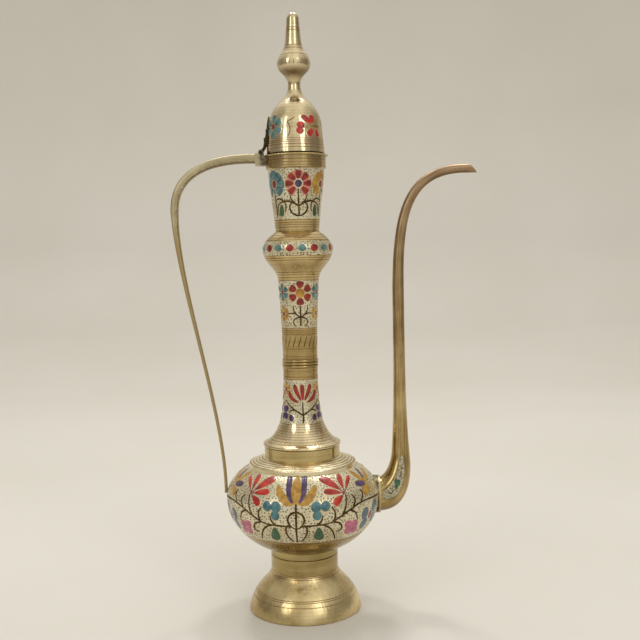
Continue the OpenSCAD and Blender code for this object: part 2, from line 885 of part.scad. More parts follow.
spout_sides = 24;
spout_z = belly_z - spout_drop;
spout_face_x = belly_r + 0.4;
spout_run_x = belly_r + spout_stand;
beak_z = rim_z - beak_drop;
crook_z = beak_z - crook_h;
elbow_z = spout_z + elbow_h;
beak_x = spout_run_x + spout_reach;
port_r = spout_root_r - 3 * spout_wall;

// Upper and lower side of the elbow in the plane of the spout
function elbow_upper(steps) = curve(
    [spout_face_x, spout_z + spout_root_r], [mix(spout_face_x, spout_run_x, 0.19), spout_z + spout_root_r],
    [spout_run_x - 1.2 * spout_knee_r, mix(spout_z + spout_root_r, elbow_z, 0.4)],
    [spout_run_x - spout_knee_r, elbow_z], steps
);

function elbow_lower(steps) = curve(
    [spout_face_x, spout_z - spout_root_r], [spout_run_x + 0.15 * spout_knee_r, spout_z - spout_root_r],
    [spout_run_x + 1.4 * spout_knee_r, mix(spout_z - spout_root_r, elbow_z, 0.38)],
    [spout_run_x + spout_knee_r, elbow_z], steps
);

// Stations of the elbow, each ring set from side to side: [x, z, outer radius, direction of the path]
function elbow_stations(steps = 10) =
    let (upper = elbow_upper(steps), lower = elbow_lower(steps))
    [
        for (i = [0:steps])
        let (middle = (upper[i] + lower[i]) / 2, side = upper[i] - middle)
        [middle.x, middle.y, norm(side), [side.y, -side.x] / norm(side)]
    ];

function crook_path(steps = 12) = curve(
    [spout_run_x, crook_z], [spout_run_x + 0.5, mix(crook_z, beak_z, 0.61)],
    [mix(spout_run_x, beak_x, 0.12), beak_z], [beak_x - beak_len, beak_z], steps
);

// Stations of the spout as [x, z, outer radius], with the path's direction where the elbow gives it
function spout_stations(run_steps = 8) =
    let (crook = crook_path(), end = len(crook) - 1)
    concat(
        elbow_stations(),
        [
            for (i = [1:run_steps - 1])
            [
                spout_run_x, mix(elbow_z, crook_z, i / run_steps),
                mix(spout_run_r, spout_knee_r, pow(1 - i / run_steps, 4))
            ]
        ],
        [
            for (i = [0:end])
            [crook[i].x, crook[i].y, mix(spout_tip_r, spout_run_r, pow(1 - i / end, 2))]
        ],
        [[beak_x, beak_z, spout_tip_r]]
    );

// The beak's last ring leans: its upper edge stops short and its lower edge runs on
function beak_ring(path, i, r) =
    let (lean = beak_len / 2 / spout_tip_r)
    [for (p = ring(path, i, r, r, spout_sides, [1, 0])) [p.x - (p.z - path[i][1]) * lean, p.y, p.z]];

// All rings of the spout's skin, set in from the outer face
function spout_rings(path, set_in) =
    let (last = len(path) - 1)
    [
        for (i = [0:last])
        let (r = path[i][2] - set_in)
        for (p = i == last ? beak_ring(path, i, r) : ring(path, i, r, r, spout_sides, path[i][3])) p
    ];

module spout() {
    path = spout_stations();
    rings = len(path);
    inside = rings * spout_sides;
    beak = (rings - 1) * spout_sides;
    color(brass) polyhedron(
        points = concat(spout_rings(path, 0), spout_rings(path, spout_wall)),
        faces = concat(
            skin_faces(0, rings, spout_sides, true),
            skin_faces(inside, rings, spout_sides, false),
            band_faces(0, inside, spout_sides, false),
            band_faces(beak, inside + beak, spout_sides, true)
        )
    );
}

module spout_flange() {
    color(pale_brass) difference() {
        rod_along_x(spout_flange_r, 0.5 * belly_r, spout_face_x, spout_z);
        belly_body();
        rod_along_x(spout_root_r - spout_wall, 0, belly_r + cut_over, spout_z);
    }
}

foot();
base_ring();
belly_bowl();
belly_dome();
shoulder_collar();
neck_lower();
neck_ferrule();
neck_upper();
neck_knop();
mouth_cup();
lid_dome();
lid_bezel();
lid_finial();
finial_washer();
hinge_leaf();
leaf_rivets();
hinge_bracket();
hinge_pin();
handle();
spout_flange();
spout();
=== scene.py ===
"""Brass surahi with a hinged lid: turned shells, a swept handle and spout, and inlaid enamel flowers."""

import math

import bpy
import numpy as np
from mathutils import Matrix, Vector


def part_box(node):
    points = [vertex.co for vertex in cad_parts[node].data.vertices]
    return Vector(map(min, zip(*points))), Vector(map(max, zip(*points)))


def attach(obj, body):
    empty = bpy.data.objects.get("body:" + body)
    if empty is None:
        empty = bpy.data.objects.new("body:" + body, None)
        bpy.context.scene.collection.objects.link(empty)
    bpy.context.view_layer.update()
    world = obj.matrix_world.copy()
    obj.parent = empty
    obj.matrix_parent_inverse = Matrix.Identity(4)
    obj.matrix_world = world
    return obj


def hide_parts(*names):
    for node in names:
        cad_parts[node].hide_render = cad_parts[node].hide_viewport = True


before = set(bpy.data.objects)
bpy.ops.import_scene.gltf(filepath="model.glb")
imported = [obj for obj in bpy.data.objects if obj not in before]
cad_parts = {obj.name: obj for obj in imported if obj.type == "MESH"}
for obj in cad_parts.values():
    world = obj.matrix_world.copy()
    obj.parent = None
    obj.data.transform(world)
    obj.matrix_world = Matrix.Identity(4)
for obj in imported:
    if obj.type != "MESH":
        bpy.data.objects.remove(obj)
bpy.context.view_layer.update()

# The part's sizes below are millimetres, and its meshes are turned to metres as they are made
MM = 0.001
SAME_PLACE = 1e-6
TURNED_SIDES = 240
ALONG_MAP = "along"
UNDER_MAP = "under"


def low_z(node):
    """Height of a CAD node's lowest point."""
    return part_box(node)[0].z / MM


def top_z(node):
    """Height of a CAD node's highest point."""
    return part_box(node)[1].z / MM


def half_width(node):
    """Radius of a turned CAD node, half its depth from front to back."""
    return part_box(node)[1].y / MM


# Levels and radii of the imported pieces, and those that lie between them
wall = 1.4
bevel = 0.4
edge_r = 0.8
foot_r = half_width("foot")
foot_top_r = half_width("base_ring")
foot_h = low_z("base_ring")
foot_wall = 2.2
base_ring_h = 5.6
belly_r = half_width("belly_bowl")
belly_z = top_z("belly_bowl")
belly_low_h = belly_z - low_z("belly_bowl")
belly_high_h = 32.5
flange_r = half_width("shoulder_collar")
flange_h = 5.0
skirt_z = top_z("shoulder_collar")
band_r = 29.3
band_z = skirt_z - 8.1
flange_top_z = band_z - 4.2
skirt_r = 28.7
skirt_lip_r = 1.5
ferrule_z = low_z("neck_ferrule")
neck_z = top_z("neck_ferrule")
ferrule_r = half_width("neck_ferrule")
ferrule_beads = 3
neck_r = 13.4
neck_top_r = half_width("neck_upper")
knop_z = top_z("neck_upper")
knop_r = half_width("neck_knop")
knop_mid_z = knop_z + 23.5
cup_z = top_z("neck_knop")
cup_low_r = 16.8
cup_r = 21.6
cup_wall = 1.5
rim_z = top_z("mouth_cup")
rim_r = 23.0
rim_lip_r = half_width("mouth_cup")
rim_edge_r = 0.6
rim_low_z = rim_z - 11.0
mouth_r = 20.8
lid_r = half_width("lid_dome")
lid_top_r = lid_r - 1.8
lid_side_z = rim_z + 20.0
crown_r = 9.7
crown_z = top_z("lid_dome")
stud_r = 2.7
waist_r = 4.7
waist_z = crown_z + 12.0
bead_r = 12.6
bead_z = waist_z + 15.3
spire_r = 6.5
spire_z = bead_z + 14.8
tip_r = 4.8
finial_top_z = top_z("lid_finial")
tip_z = finial_top_z - 5.5

# Bands of the pattern, as heights above the table
stem_z = 32.0
belly_ground_z = (65.6, 122.0)
skirt_lines_z = (133.0, 147.2)
skirt_top_z = 147.8
lower_ground_z = (skirt_top_z, 181.0)
upper_ground_z = (221.0, 258.0)
knop_ground_z = (276.8, 287.0)
cup_ground_z = (304.0, 341.4)
# Band of painted shade from the gap between the lid and the cup
lid_gap_shade_z = (rim_z, rim_z + 0.7)

# Handle and spout
handle_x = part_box("hinge_bracket")[0].x / MM
handle_z = rim_z - 1.9
handle_thick = 6.0
handle_wide = 9.0
bow_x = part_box("handle")[0].x / MM + handle_thick / 2
bow_z = rim_z - 41.5
spout_root_x = 59.6
spout_x = 77.0
elbow_z = 120.0
elbow_r = 7.1
crook_z = 250.0
crook_r = 4.5
beak_x = 136.0
beak_z = 340.5
beak_long = 6.0
beak_r = 3.4
beak_slant = 3.0
spout_wall = 1.0


# Curves and profiles

def mix(a, b, t):
    """Value the share t of the way from a to b."""
    return a + (b - a) * t


def unit(vectors):
    """Vectors made one long."""
    return vectors / np.linalg.norm(vectors, axis=1)[:, None]


def cubic(control, shares):
    """Points at shares of a cubic curve: its four control points weighted by the Bernstein polynomials."""
    a, b, c, d = (np.asarray(point, float) for point in control)
    t = shares[:, None]
    return (1 - t) ** 3 * a + 3 * (1 - t) ** 2 * t * b + 3 * (1 - t) * t ** 2 * c + t ** 3 * d


def bezier(a, b, c, d, count):
    """A count of points along a cubic curve."""
    return cubic((a, b, c, d), np.linspace(0, 1, count))


def ellipse(centre, across, up, start, end, count):
    """Points on an ellipse round a centre, from a start angle to an end angle in degrees."""
    angle = np.radians(np.linspace(start, end, count))
    return np.stack([centre[0] + across * np.cos(angle), centre[1] + up * np.sin(angle)], axis=1)


def chain(*runs):
    """Runs of points joined end to end, with a repeated point kept once."""
    points = np.concatenate([np.atleast_2d(np.asarray(run, float)) for run in runs])
    apart = np.linalg.norm(np.diff(points, axis=0), axis=1) > SAME_PLACE
    return points[np.concatenate([[True], apart])]


def distance_along(points):
    """Distance from the first point of a line to each of its points."""
    return np.concatenate([[0], np.cumsum(np.linalg.norm(np.diff(points, axis=0), axis=1))])


def outward(points):
    """Directions square to a profile that runs up, away from the axis."""
    slope = np.gradient(points, axis=0)
    return unit(np.stack([slope[:, 1], -slope[:, 0]], axis=1))


def set_in(points, thick):
    """Profile moved in square to itself by a wall's thickness, its ends kept level, in reverse order."""
    inner = points - thick * outward(points)
    inner[0, 1] = points[0, 1]
    inner[-1, 1] = points[-1, 1]
    return inner[::-1]


NO_CUTS = np.zeros((0, 3))
LEAST_CUT = 0.01
ALONG_DECIMALS = 4


def cuts_at(points, places, half, depth, axis=1):
    """Grooves at heights (axis 1) or radii (axis 0) of a profile, as rows of distance along it, half width
    and depth."""
    order = np.argsort(points[:, axis])
    middle = np.interp(places, points[order, axis], distance_along(points)[order])
    return np.stack([middle, np.full_like(middle, half), np.full_like(middle, depth)], axis=1)


def engrave(points, cuts):
    """Profile with grooves, and which of its points lie in one: a point moves in by a cut's depth times one
    minus the square of its distance from the cut over the half width."""
    along = distance_along(points)
    across = np.array([-1, -0.6, 0, 0.6, 1])
    beside = cuts[:, :1] + across * cuts[:, 1:2]
    s = np.unique(np.concatenate([along, beside.ravel()]).clip(0, along[-1]).round(ALONG_DECIMALS))
    place = np.stack([np.interp(s, along, points[:, 0]), np.interp(s, along, points[:, 1])], axis=1)
    share = 1 - ((s[:, None] - cuts[:, 0]) / cuts[:, 1]) ** 2
    depth = (cuts[:, 2] * share.clip(0)).max(axis=1, initial=0)
    return place - depth[:, None] * outward(place), depth > LEAST_CUT


# Meshes

def grid_faces(rows, columns, loop_rows):
    """Quads of a grid that closes round its columns, and round its rows too when it is a loop."""
    row = np.arange(rows if loop_rows else rows - 1)[:, None]
    column = np.arange(columns)[None, :]
    next_row = (row + 1) % rows
    next_column = (column + 1) % columns
    quads = [row * columns + column, row * columns + next_column,
             next_row * columns + next_column, next_row * columns + column]
    return np.stack(np.broadcast_arrays(*quads), axis=-1).reshape(-1, 4)


def pole_faces(columns, ring_start, pole, upper):
    """Triangles from the last or first ring of a grid to the single point that closes it."""
    column = np.arange(columns)
    next_column = (column + 1) % columns
    ring = [ring_start + column, ring_start + next_column]
    return np.stack((ring if upper else ring[::-1]) + [np.full(columns, pole)], axis=1)


def capped(rings, ends):
    """Points and faces of a grid of rings with a single point that closes each end."""
    rows, sides = rings.shape[:2]
    count = rows * sides
    faces = [
        grid_faces(rows, sides, False),
        pole_faces(sides, 0, count, False),
        pole_faces(sides, count - sides, count + 1, True),
    ]
    return np.concatenate([rings.reshape(-1, 3), ends]), faces


def make_piece(name, points, faces, finishes, finish_of_face, body, nodes=(), sharp=38):
    """Object from points in millimetres and lists of faces, smooth but for edges sharper than an angle."""
    mesh = bpy.data.meshes.new(name)
    mesh.from_pydata((points * MM).tolist(), [], [f for group in faces for f in group.tolist()])
    for finish in finishes:
        mesh.materials.append(finish)
    count = len(mesh.polygons)
    mesh.polygons.foreach_set("material_index", np.broadcast_to(finish_of_face, count).astype(np.int32))
    mesh.polygons.foreach_set("use_smooth", np.ones(count, bool))
    mesh.set_sharp_from_angle(angle=math.radians(sharp))
    mesh.update()
    piece = bpy.data.objects.new(name, mesh)
    bpy.context.collection.objects.link(piece)
    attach(piece, body)
    if nodes:
        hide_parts(*nodes)
    return piece


def map_along(piece, rows, sides, girth=1.0):
    """UV map of a piece made of rings: their distance along the path, and the share of the way round times a
    girth. The last face of each ring ends at a share of 1, not 0."""
    mesh = piece.data
    layer = mesh.uv_layers.new(name=ALONG_MAP)
    corner = np.empty(len(mesh.loops), np.int32)
    starts = np.empty(len(mesh.polygons), np.int32)
    totals = np.empty(len(mesh.polygons), np.int32)
    mesh.loops.foreach_get("vertex_index", corner)
    mesh.polygons.foreach_get("loop_start", starts)
    mesh.polygons.foreach_get("loop_total", totals)
    row = np.minimum(corner // sides, len(rows) - 1)
    share = corner % sides / sides
    furthest = np.repeat(np.maximum.reduceat(share, starts), totals)
    share = np.where((share == 0) & (furthest > 0.5), 1.0, share)
    layer.data.foreach_set("uv", np.stack([rows[row], share * girth], axis=1).ravel().astype(np.float32))


def map_under(piece):
    """Point attribute of a piece: how far its surface looks down, from 0 upright to 1 flat underneath."""
    normals = np.empty(3 * len(piece.data.vertices), np.float32)
    piece.data.vertices.foreach_get("normal", normals)
    under = (-normals[2::3]).clip(0)
    piece.data.attributes.new(UNDER_MAP, "FLOAT", "POINT").data.foreach_set("value", under)


def turned(name, outer, inner, plain, zones=(), cuts=NO_CUTS, body="vessel",
           nodes=()):
    """Shell of revolution: each profile point (radius, height) becomes a ring about Z. The outer profile
    runs up and the inner one down, and the loop closes; with no inner profile the ends are poles on the
    axis. Zones are (low, high, finish) on the outside of a plain piece, and grooves are copper lines."""
    outer, grooved = engrave(outer, cuts)
    loop = inner is not None
    profile = np.concatenate([outer, inner]) if loop else outer[1:-1]
    angle = np.linspace(-np.pi, np.pi, TURNED_SIDES, endpoint=False)
    rings = np.stack([
        profile[:, :1] * np.sin(angle),
        -profile[:, :1] * np.cos(angle),
        np.repeat(profile[:, 1:], TURNED_SIDES, axis=1),
    ], axis=-1)
    height = profile[:, 1]
    outside = np.arange(len(profile)) < len(outer) - 1
    middle = (height + np.roll(height, -1)) / 2
    finishes = [plain]
    finish_of_ring = np.zeros(len(profile), int)
    for low, high, finish in zones:
        finish_of_ring[outside & (middle > low) & (middle < high)] = len(finishes)
        finishes.append(finish)
    if len(cuts):
        marked = grooved if loop else grooved[1:-1]
        in_groove = np.zeros(len(profile), bool)
        in_groove[:len(marked)] = marked
        finish_of_ring[outside & in_groove] = len(finishes)
        finishes.append(copper_line)
    if loop:
        points = rings.reshape(-1, 3)
        faces = [grid_faces(len(profile), TURNED_SIDES, True)]
        numbers = np.repeat(finish_of_ring, TURNED_SIDES)
    else:
        points, faces = capped(rings, np.array([[0, 0, outer[0, 1]], [0, 0, outer[-1, 1]]]))
        numbers = np.repeat([*finish_of_ring[:-1], 0, 0], TURNED_SIDES)
    piece = make_piece(name, points, faces, finishes, numbers, body, nodes)
    map_along(piece, distance_along(profile), TURNED_SIDES, 2 * np.pi * outer[:, 0].mean())
    map_under(piece)


# Parts of materials

def srgb(red, green, blue):
    """Linear colour from screen values of 0 to 255."""
    value = np.array([red, green, blue]) / 255
    linear = np.where(value <= 0.04045, value / 12.92, ((value + 0.055) / 1.055) ** 2.4)
    return (*linear.tolist(), 1.0)


def feed(tree, socket, value):
    """Puts a number, a colour or another node's output on an input socket."""
    if isinstance(value, bpy.types.NodeSocket):
        tree.links.new(value, socket)
    else:
        socket.default_value = value


def node(tree, kind, inputs=None, **settings):
    """New node of a kind, with its settings and its input sockets filled."""
    made = tree.nodes.new("ShaderNode" + kind)
    for key, value in settings.items():
        setattr(made, key, value)
    for key, value in (inputs or {}).items():
        feed(tree, made.inputs[key], value)
    return made


def new_finish(name):
    """Empty material with its node tree, its shader and its Object coordinates."""
    material = bpy.data.materials.new(name)
    material.use_nodes = True
    tree = material.node_tree
    return material, tree, tree.nodes["Principled BSDF"], node(tree, "TexCoord").outputs["Object"]


def noise(tree, coords, scale=1.0, detail=2.0, stretch=(1, 1, 1)):
    """Cloudy noise on coordinates that are stretched along their axes."""
    stretched = node(tree, "Mapping", {"Vector": coords, "Scale": stretch}).outputs["Vector"]
    return node(tree, "TexNoise", {"Vector": stretched, "Scale": scale, "Detail": detail}).outputs["Fac"]


def along_map(tree):
    """Coordinates of a piece's own UV map: millimetres along its path, and the way round it."""
    return node(tree, "UVMap", uv_map=ALONG_MAP).outputs["UV"]


def part_of(tree, vector, axis):
    """One number of a vector, on the axis X, Y or Z."""
    return node(tree, "SeparateXYZ", {"Vector": vector}).outputs[axis]


def reckon(tree, operation, *values):
    """Result of an operation, such as a product, on one to three values."""
    return node(tree, "Math", dict(enumerate(values)), operation=operation).outputs["Value"]


def product(tree, *values):
    """Values multiplied together."""
    result = values[0]
    for value in values[1:]:
        result = reckon(tree, "MULTIPLY", result, value)
    return result


def between(tree, share, first, second):
    """Value a share of the way from a first one to a second one."""
    return node(tree, "Mix", {0: share, 2: first, 3: second}).outputs[0]


def blend(tree, share, first, second):
    """Colour a share of the way from a first one to a second one."""
    inputs = {"Factor": share, "A": first, "B": second}
    return node(tree, "Mix", inputs, data_type="RGBA").outputs["Result"]


def ramp(tree, tone, dark, light, start=0.36, end=0.6):
    """Colour that goes from a dark one to a light one as a tone rises from a start to an end."""
    made = node(tree, "ValToRGB", {"Fac": tone})
    for stop, place, colour in zip(made.color_ramp.elements, (start, end), (dark, light)):
        stop.position = place
        stop.color = srgb(*colour)
    return made.outputs["Color"]


def spread(tree, value, low, high, start=0.3, end=0.7):
    """Value that goes from low to high as another rises from a start to an end."""
    inputs = {"Value": value, "From Min": start, "From Max": end, "To Min": low, "To Max": high}
    return node(tree, "MapRange", inputs).outputs["Result"]


def surface(tree, shader, colour, rough, metallic=1.0):
    """Puts a colour and a roughness on a shader, and how far it is a metal."""
    feed(tree, shader.inputs["Base Color"], colour)
    feed(tree, shader.inputs["Roughness"], rough)
    shader.inputs["Metallic"].default_value = metallic


def bump(tree, shader, height, strength, depth):
    """Fine relief on a shader from a height value, its depth in metres."""
    made = node(tree, "Bump", {"Height": height, "Strength": strength, "Distance": depth})
    feed(tree, shader.inputs["Normal"], made.outputs["Normal"])


# Materials, with colours as screen values and relief in metres

# Dark brown of the painted shade on undersides, partly tarnish
UNDERSIDE_SHADE = srgb(88, 64, 30)
MARKS_SHARE = 0.1
TOOLED_SHARE = 0.5
STREAKS_SHARE = 0.5
UNEVEN_POLISH = 0.16
TOOLED_DEPTH = 0.000032
LEAST_DEPTH = 0.000004
CHATTER_SHARE = 10.0
FINE_DEPTH = 0.0002
FILED_DEPTH = 0.0003


def shade_underneath(tree, clean, amount):
    """Clean colour that goes over to dark brown, by an amount, where a surface looks down: painted shade on
    undersides, partly tarnish.
    """
    under = node(tree, "Attribute", attribute_name=UNDER_MAP).outputs["Fac"]
    return blend(tree, spread(tree, under, 0.0, amount, start=0.2, end=0.7), clean, UNDERSIDE_SHADE)


def brass(name, dark, light, rough, lathe=1.0, underside_shade=0.4):
    """Aged brass: clouded colour and uneven polish, with turned lines, chased marks and the lathe's chatter
    by the lathe share, and painted shade on undersides, partly tarnish."""
    material, tree, shader, coords = new_finish(name)
    cloud = noise(tree, coords, scale=38.0, detail=6.0)
    lines = noise(tree, along_map(tree), detail=3.0, stretch=(1.5, 0.012, 1))
    marks = noise(tree, along_map(tree), detail=2.0, stretch=(0.14, 1.0, 1))
    chatter = noise(tree, coords, detail=1.0, stretch=(260, 260, 45))
    tooled = between(tree, MARKS_SHARE, lines, marks)
    clean = ramp(tree, between(tree, TOOLED_SHARE * lathe, cloud, tooled), dark, light)
    polish = spread(tree, noise(tree, coords, scale=90.0, detail=5.0), *rough)
    surface(tree, shader, shade_underneath(tree, clean, underside_shade), polish)
    relief = reckon(tree, "MULTIPLY_ADD", chatter, CHATTER_SHARE, tooled)
    bump(tree, shader, relief, strength=1.0, depth=TOOLED_DEPTH * lathe + LEAST_DEPTH)
    return material


def drawn_tone(tree, coords):
    """Streaks along a bent bar or tube mixed with clouds."""
    streaks = noise(tree, along_map(tree), detail=4.0, stretch=(0.04, 40.0, 1))
    return between(tree, STREAKS_SHARE, noise(tree, coords, scale=45.0, detail=6.0), streaks)


def drawn_brass(name, root, tip, rough, start, end):
    """Drawn brass of the spout with streaks along it: polished as far as a start along it, and going over to
    brown and satin at an end. Root and tip are pairs of dark and light."""
    material, tree, shader, coords = new_finish(name)
    tone = drawn_tone(tree, coords)
    far = spread(tree, part_of(tree, along_map(tree), "X"), 0.0, 1.0, start, end)
    clean = blend(tree, far, ramp(tree, tone, *root, start=0.38), ramp(tree, tone, *tip, start=0.38))
    surface(tree, shader, shade_underneath(tree, clean, amount=0.7), spread(tree, far, *rough, start=0.0, end=1.0))
    bump(tree, shader, tone, strength=0.2, depth=FINE_DEPTH)
    return material


def dashed_brass(name, dark, light, mark, plain, rough, reach):
    """Drawn brass of the handle: pale with rows of fine slanting cuts on its flats as far as a reach along
    it, and plain darker brass beyond."""
    material, tree, shader, coords = new_finish(name)
    tone = drawn_tone(tree, coords)
    round_share = part_of(tree, along_map(tree), "Y")
    beside = reckon(tree, "ABSOLUTE", reckon(tree, "SUBTRACT", round_share, 0.5))
    slant = {"Vector": along_map(tree), "Scale": (1, 14, 1), "Rotation": (0, 0, 0.6)}
    wave = node(tree, "TexWave", {"Vector": node(tree, "Mapping", slant).outputs["Vector"], "Scale": 0.19})
    worked_end = 1.15 * reach
    worked = spread(tree, part_of(tree, along_map(tree), "X"), 1.0, 0.0, reach, worked_end)
    dashes = spread(tree, wave.outputs["Fac"], 0.0, 1.0, start=0.4, end=0.8)
    flat_start = spread(tree, beside, 0.0, 1.0, start=0.08, end=0.12)
    flat_end = spread(tree, beside, 1.0, 0.0, start=0.2, end=0.26)
    broken = spread(tree, noise(tree, coords, scale=420.0, detail=2.0), 0.0, 1.0, start=0.38, end=0.6)
    cuts = product(tree, dashes, worked, flat_start, flat_end, broken)
    pale = ramp(tree, tone, dark, light, start=0.38)
    clean = blend(tree, cuts, blend(tree, worked, srgb(*plain), pale), srgb(*mark))
    surface(tree, shader, shade_underneath(tree, clean, amount=0.6), spread(tree, tone, *rough))
    bump(tree, shader, cuts, strength=-0.4, depth=FILED_DEPTH)
    return material


def end_brass(name, dark, light, start, end):
    """Brass of a small piece that joins two others: light, and darkening along X from a start to an end in
    metres, with grime that breaks up the dark. On the hinge bracket the dark is painted shade where the
    handle's end meets the cup; on the spout's flange it is a dark joint."""
    material, tree, shader, coords = new_finish(name)
    grime = noise(tree, coords, scale=320.0, detail=4.0)
    across = spread(tree, part_of(tree, coords, "X"), 0.25, 1.0, start, end)
    share = product(tree, across, spread(tree, grime, 0.5, 1.0))
    surface(tree, shader, blend(tree, share, srgb(*light), srgb(*dark)), spread(tree, grime, 0.36, 0.52))
    bump(tree, shader, grime, strength=0.3, depth=FILED_DEPTH)
    return material


def stippled_ground(name, dim, pale, mark):
    """Matted pale ground: clouded colour with small dark punch marks, each a dot round a cell's point."""
    material, tree, shader, coords = new_finish(name)
    cloud = ramp(tree, noise(tree, coords, scale=60.0, detail=5.0), dim, pale, end=0.62)
    spaced = {"Vector": along_map(tree), "Scale": 0.46, "Randomness": 0.75}
    cells = node(tree, "TexVoronoi", spaced, voronoi_dimensions="2D")
    punched = spread(tree, cells.outputs["Distance"], 1.0, 0.0, start=0.15, end=0.32)
    worn = spread(tree, noise(tree, coords, scale=140.0, detail=2.0), 0.55, 1.0, start=0.4, end=0.6)
    share = product(tree, punched, worn)
    rough = spread(tree, share, 0.32, 0.6, start=0.0, end=1.0)
    surface(tree, shader, blend(tree, share, cloud, srgb(*mark)), rough, metallic=0.5)
    bump(tree, shader, punched, strength=-0.35, depth=FINE_DEPTH)
    return material


def enamel(name, deep, bright, rough=0.24, coat=0.25, grain=210.0, gloss=0.5):
    """Fired enamel: glassy coat over a colour that pools darker in places."""
    material, tree, shader, coords = new_finish(name)
    pool = noise(tree, coords, scale=grain, detail=3.0)
    polish = spread(tree, noise(tree, coords, scale=500.0, detail=2.0), rough, rough + UNEVEN_POLISH)
    surface(tree, shader, ramp(tree, pool, deep, bright, end=0.64), polish, metallic=0.0)
    shader.inputs["Specular IOR Level"].default_value = gloss
    shader.inputs["Coat Weight"].default_value = coat
    shader.inputs["Coat Roughness"].default_value = 0.12
    bump(tree, shader, pool, strength=0.2, depth=FINE_DEPTH)
    return material


polished = brass("polished_brass", (158, 136, 84), (208, 188, 138), (0.13, 0.24))
bright_brass = brass("bright_brass", (194, 174, 130), (238, 220, 180), (0.14, 0.25), lathe=0.9, underside_shade=0.8)
worn_brass = brass("worn_brass", (154, 129, 77), (205, 181, 128), (0.16, 0.26))
foot_brass = brass("foot_brass", (180, 156, 104), (229, 208, 158), (0.22, 0.34), lathe=0.55)
cup_brass = brass("cup_brass", (180, 155, 102), (228, 206, 154), (0.16, 0.26))
# Darker copy of the brass for the stem and base ring: painted shade for their dim reflections
stem_brass = brass("stem_brass", (136, 118, 72), (186, 166, 116), (0.16, 0.26))
# Satin brass of the flange, its paleness a painted reflection of bright light from above
satin_brass_painted_sheen = brass("satin_brass_painted_sheen", (214, 197, 152), (248, 237, 204), (0.26, 0.36), lathe=0.6)
dark_brass = brass("hinge_brass", (44, 36, 24), (98, 80, 52), (0.35, 0.5), lathe=0.0)
inner_brass = brass("inner_brass", (120, 98, 58), (160, 134, 84), (0.35, 0.5), lathe=0.0)
copper_line = brass("copper_line", (120, 84, 50), (166, 122, 78), (0.3, 0.45))
# Dark band at the lid's lower edge: painted shade of the gap between lid and cup
lid_gap_shade = brass("lid_gap_shade", (40, 30, 18), (84, 66, 40), (0.4, 0.55))
cut_line = brass("cut_line", (84, 66, 32), (132, 108, 60), (0.35, 0.5), lathe=0.0)
enamel_edge = brass("enamel_edge", (206, 184, 140), (236, 222, 188), (0.2, 0.32), lathe=0.0)
# The bracket's dark end is painted shade between the handle's end and the cup
bracket_brass = end_brass("bracket_brass", (52, 43, 28), (200, 187, 152), start=-0.0285, end=-0.0262)
flange_brass = end_brass("flange_brass", (44, 34, 20), (206, 190, 148), start=0.0590, end=0.0583)
handle_brass = dashed_brass("handle_brass", (166, 151, 116), (204, 191, 157), mark=(118, 101, 66),
                            plain=(174, 153, 108), rough=(0.38, 0.52), reach=96)
spout_brass = drawn_brass("spout_brass", root=((150, 125, 76), (212, 187, 132)),
                          tip=((136, 111, 82), (178, 151, 119)), rough=(0.18, 0.4), start=40, end=270)
ground = stippled_ground("stippled_ground", (202, 190, 154), (226, 216, 186), mark=(70, 58, 36))
ENAMEL_COLOURS = {
    "red": [(142, 22, 10), (206, 52, 30)],
    "ruby": [(108, 18, 5), (160, 36, 14)],
    "teal": [(44, 88, 94), (82, 128, 132)],
    "sea": [(60, 98, 98), (102, 142, 138)],
    "ochre": [(152, 106, 24), (196, 150, 52)],
    "violet": [(50, 32, 66), (90, 66, 106)],
    "pink": [(160, 72, 98), (198, 108, 132)],
    "green": [(28, 62, 38), (62, 102, 62)],
    "blue": [(44, 70, 84), (80, 110, 122)],
    "rose": [(176, 108, 84), (206, 146, 118)],
    "brick": [(108, 30, 40), (150, 62, 58)],
}
FILLS = {colour: enamel(colour + "_enamel", *tones) for colour, tones in ENAMEL_COLOURS.items()}
FILLS["vine"] = enamel("vine_enamel", (54, 38, 11), (98, 73, 29), rough=0.5, coat=0.0, gloss=0.15)
FILLS["panel"] = enamel("pale_panel", (112, 102, 70), (206, 198, 166), rough=0.3, coat=0.0, grain=900.0)
FILLS.update(copper=copper_line, cut=cut_line, edge=enamel_edge)


# Outer profiles of the turned pieces, from the table up

RIM_POINTS = 6
foot_outer = chain(
    ellipse((foot_r - edge_r, edge_r), edge_r, edge_r, -90, 0, RIM_POINTS),
    bezier((foot_r, 0.9), (mix(foot_r, foot_top_r, 0.19), 21.1), (foot_top_r, 23.8), (foot_top_r, 33.0), 40),
    [(foot_top_r, foot_h - 0.5), (foot_top_r - bevel, foot_h)],
)
base_ring_outer = chain(
    [(foot_top_r - bevel, foot_h), (foot_top_r, foot_h + bevel), (foot_top_r, foot_h + base_ring_h)],
)
belly_outer = chain(
    ellipse((0, belly_z), belly_r, belly_low_h, -72, 0, 40),
    ellipse((0, belly_z), belly_r, belly_high_h, 0, 66, 36),
)
collar_outer = chain(
    [(flange_r, flange_top_z - flange_h)],
    ellipse((flange_r - edge_r, flange_top_z - edge_r), edge_r, edge_r, 0, 80, 6),
    bezier((flange_r - 0.7, flange_top_z), (flange_r - 5, flange_top_z + 1.7),
           (band_r + 4, band_z - 1.4), (band_r, band_z), 16),
    [(band_r, skirt_z)],
)
skirt_outer = chain(
    ellipse((skirt_r, skirt_z + skirt_lip_r), skirt_lip_r, skirt_lip_r, -90, 90, 12),
    bezier((skirt_r - 0.75, skirt_z + 2 * skirt_lip_r), (14.4, skirt_z + 12.26),
           (neck_r, skirt_z + 30.6), (neck_r, ferrule_z), 48),
)
ferrule_bead_r = (neck_z - ferrule_z) / ferrule_beads / 2
ferrule_outer = chain(*[
    ellipse((ferrule_r - ferrule_bead_r, ferrule_z + (2 * i + 1) * ferrule_bead_r),
            ferrule_bead_r, ferrule_bead_r, -80, 80, 9)
    for i in range(ferrule_beads)
])
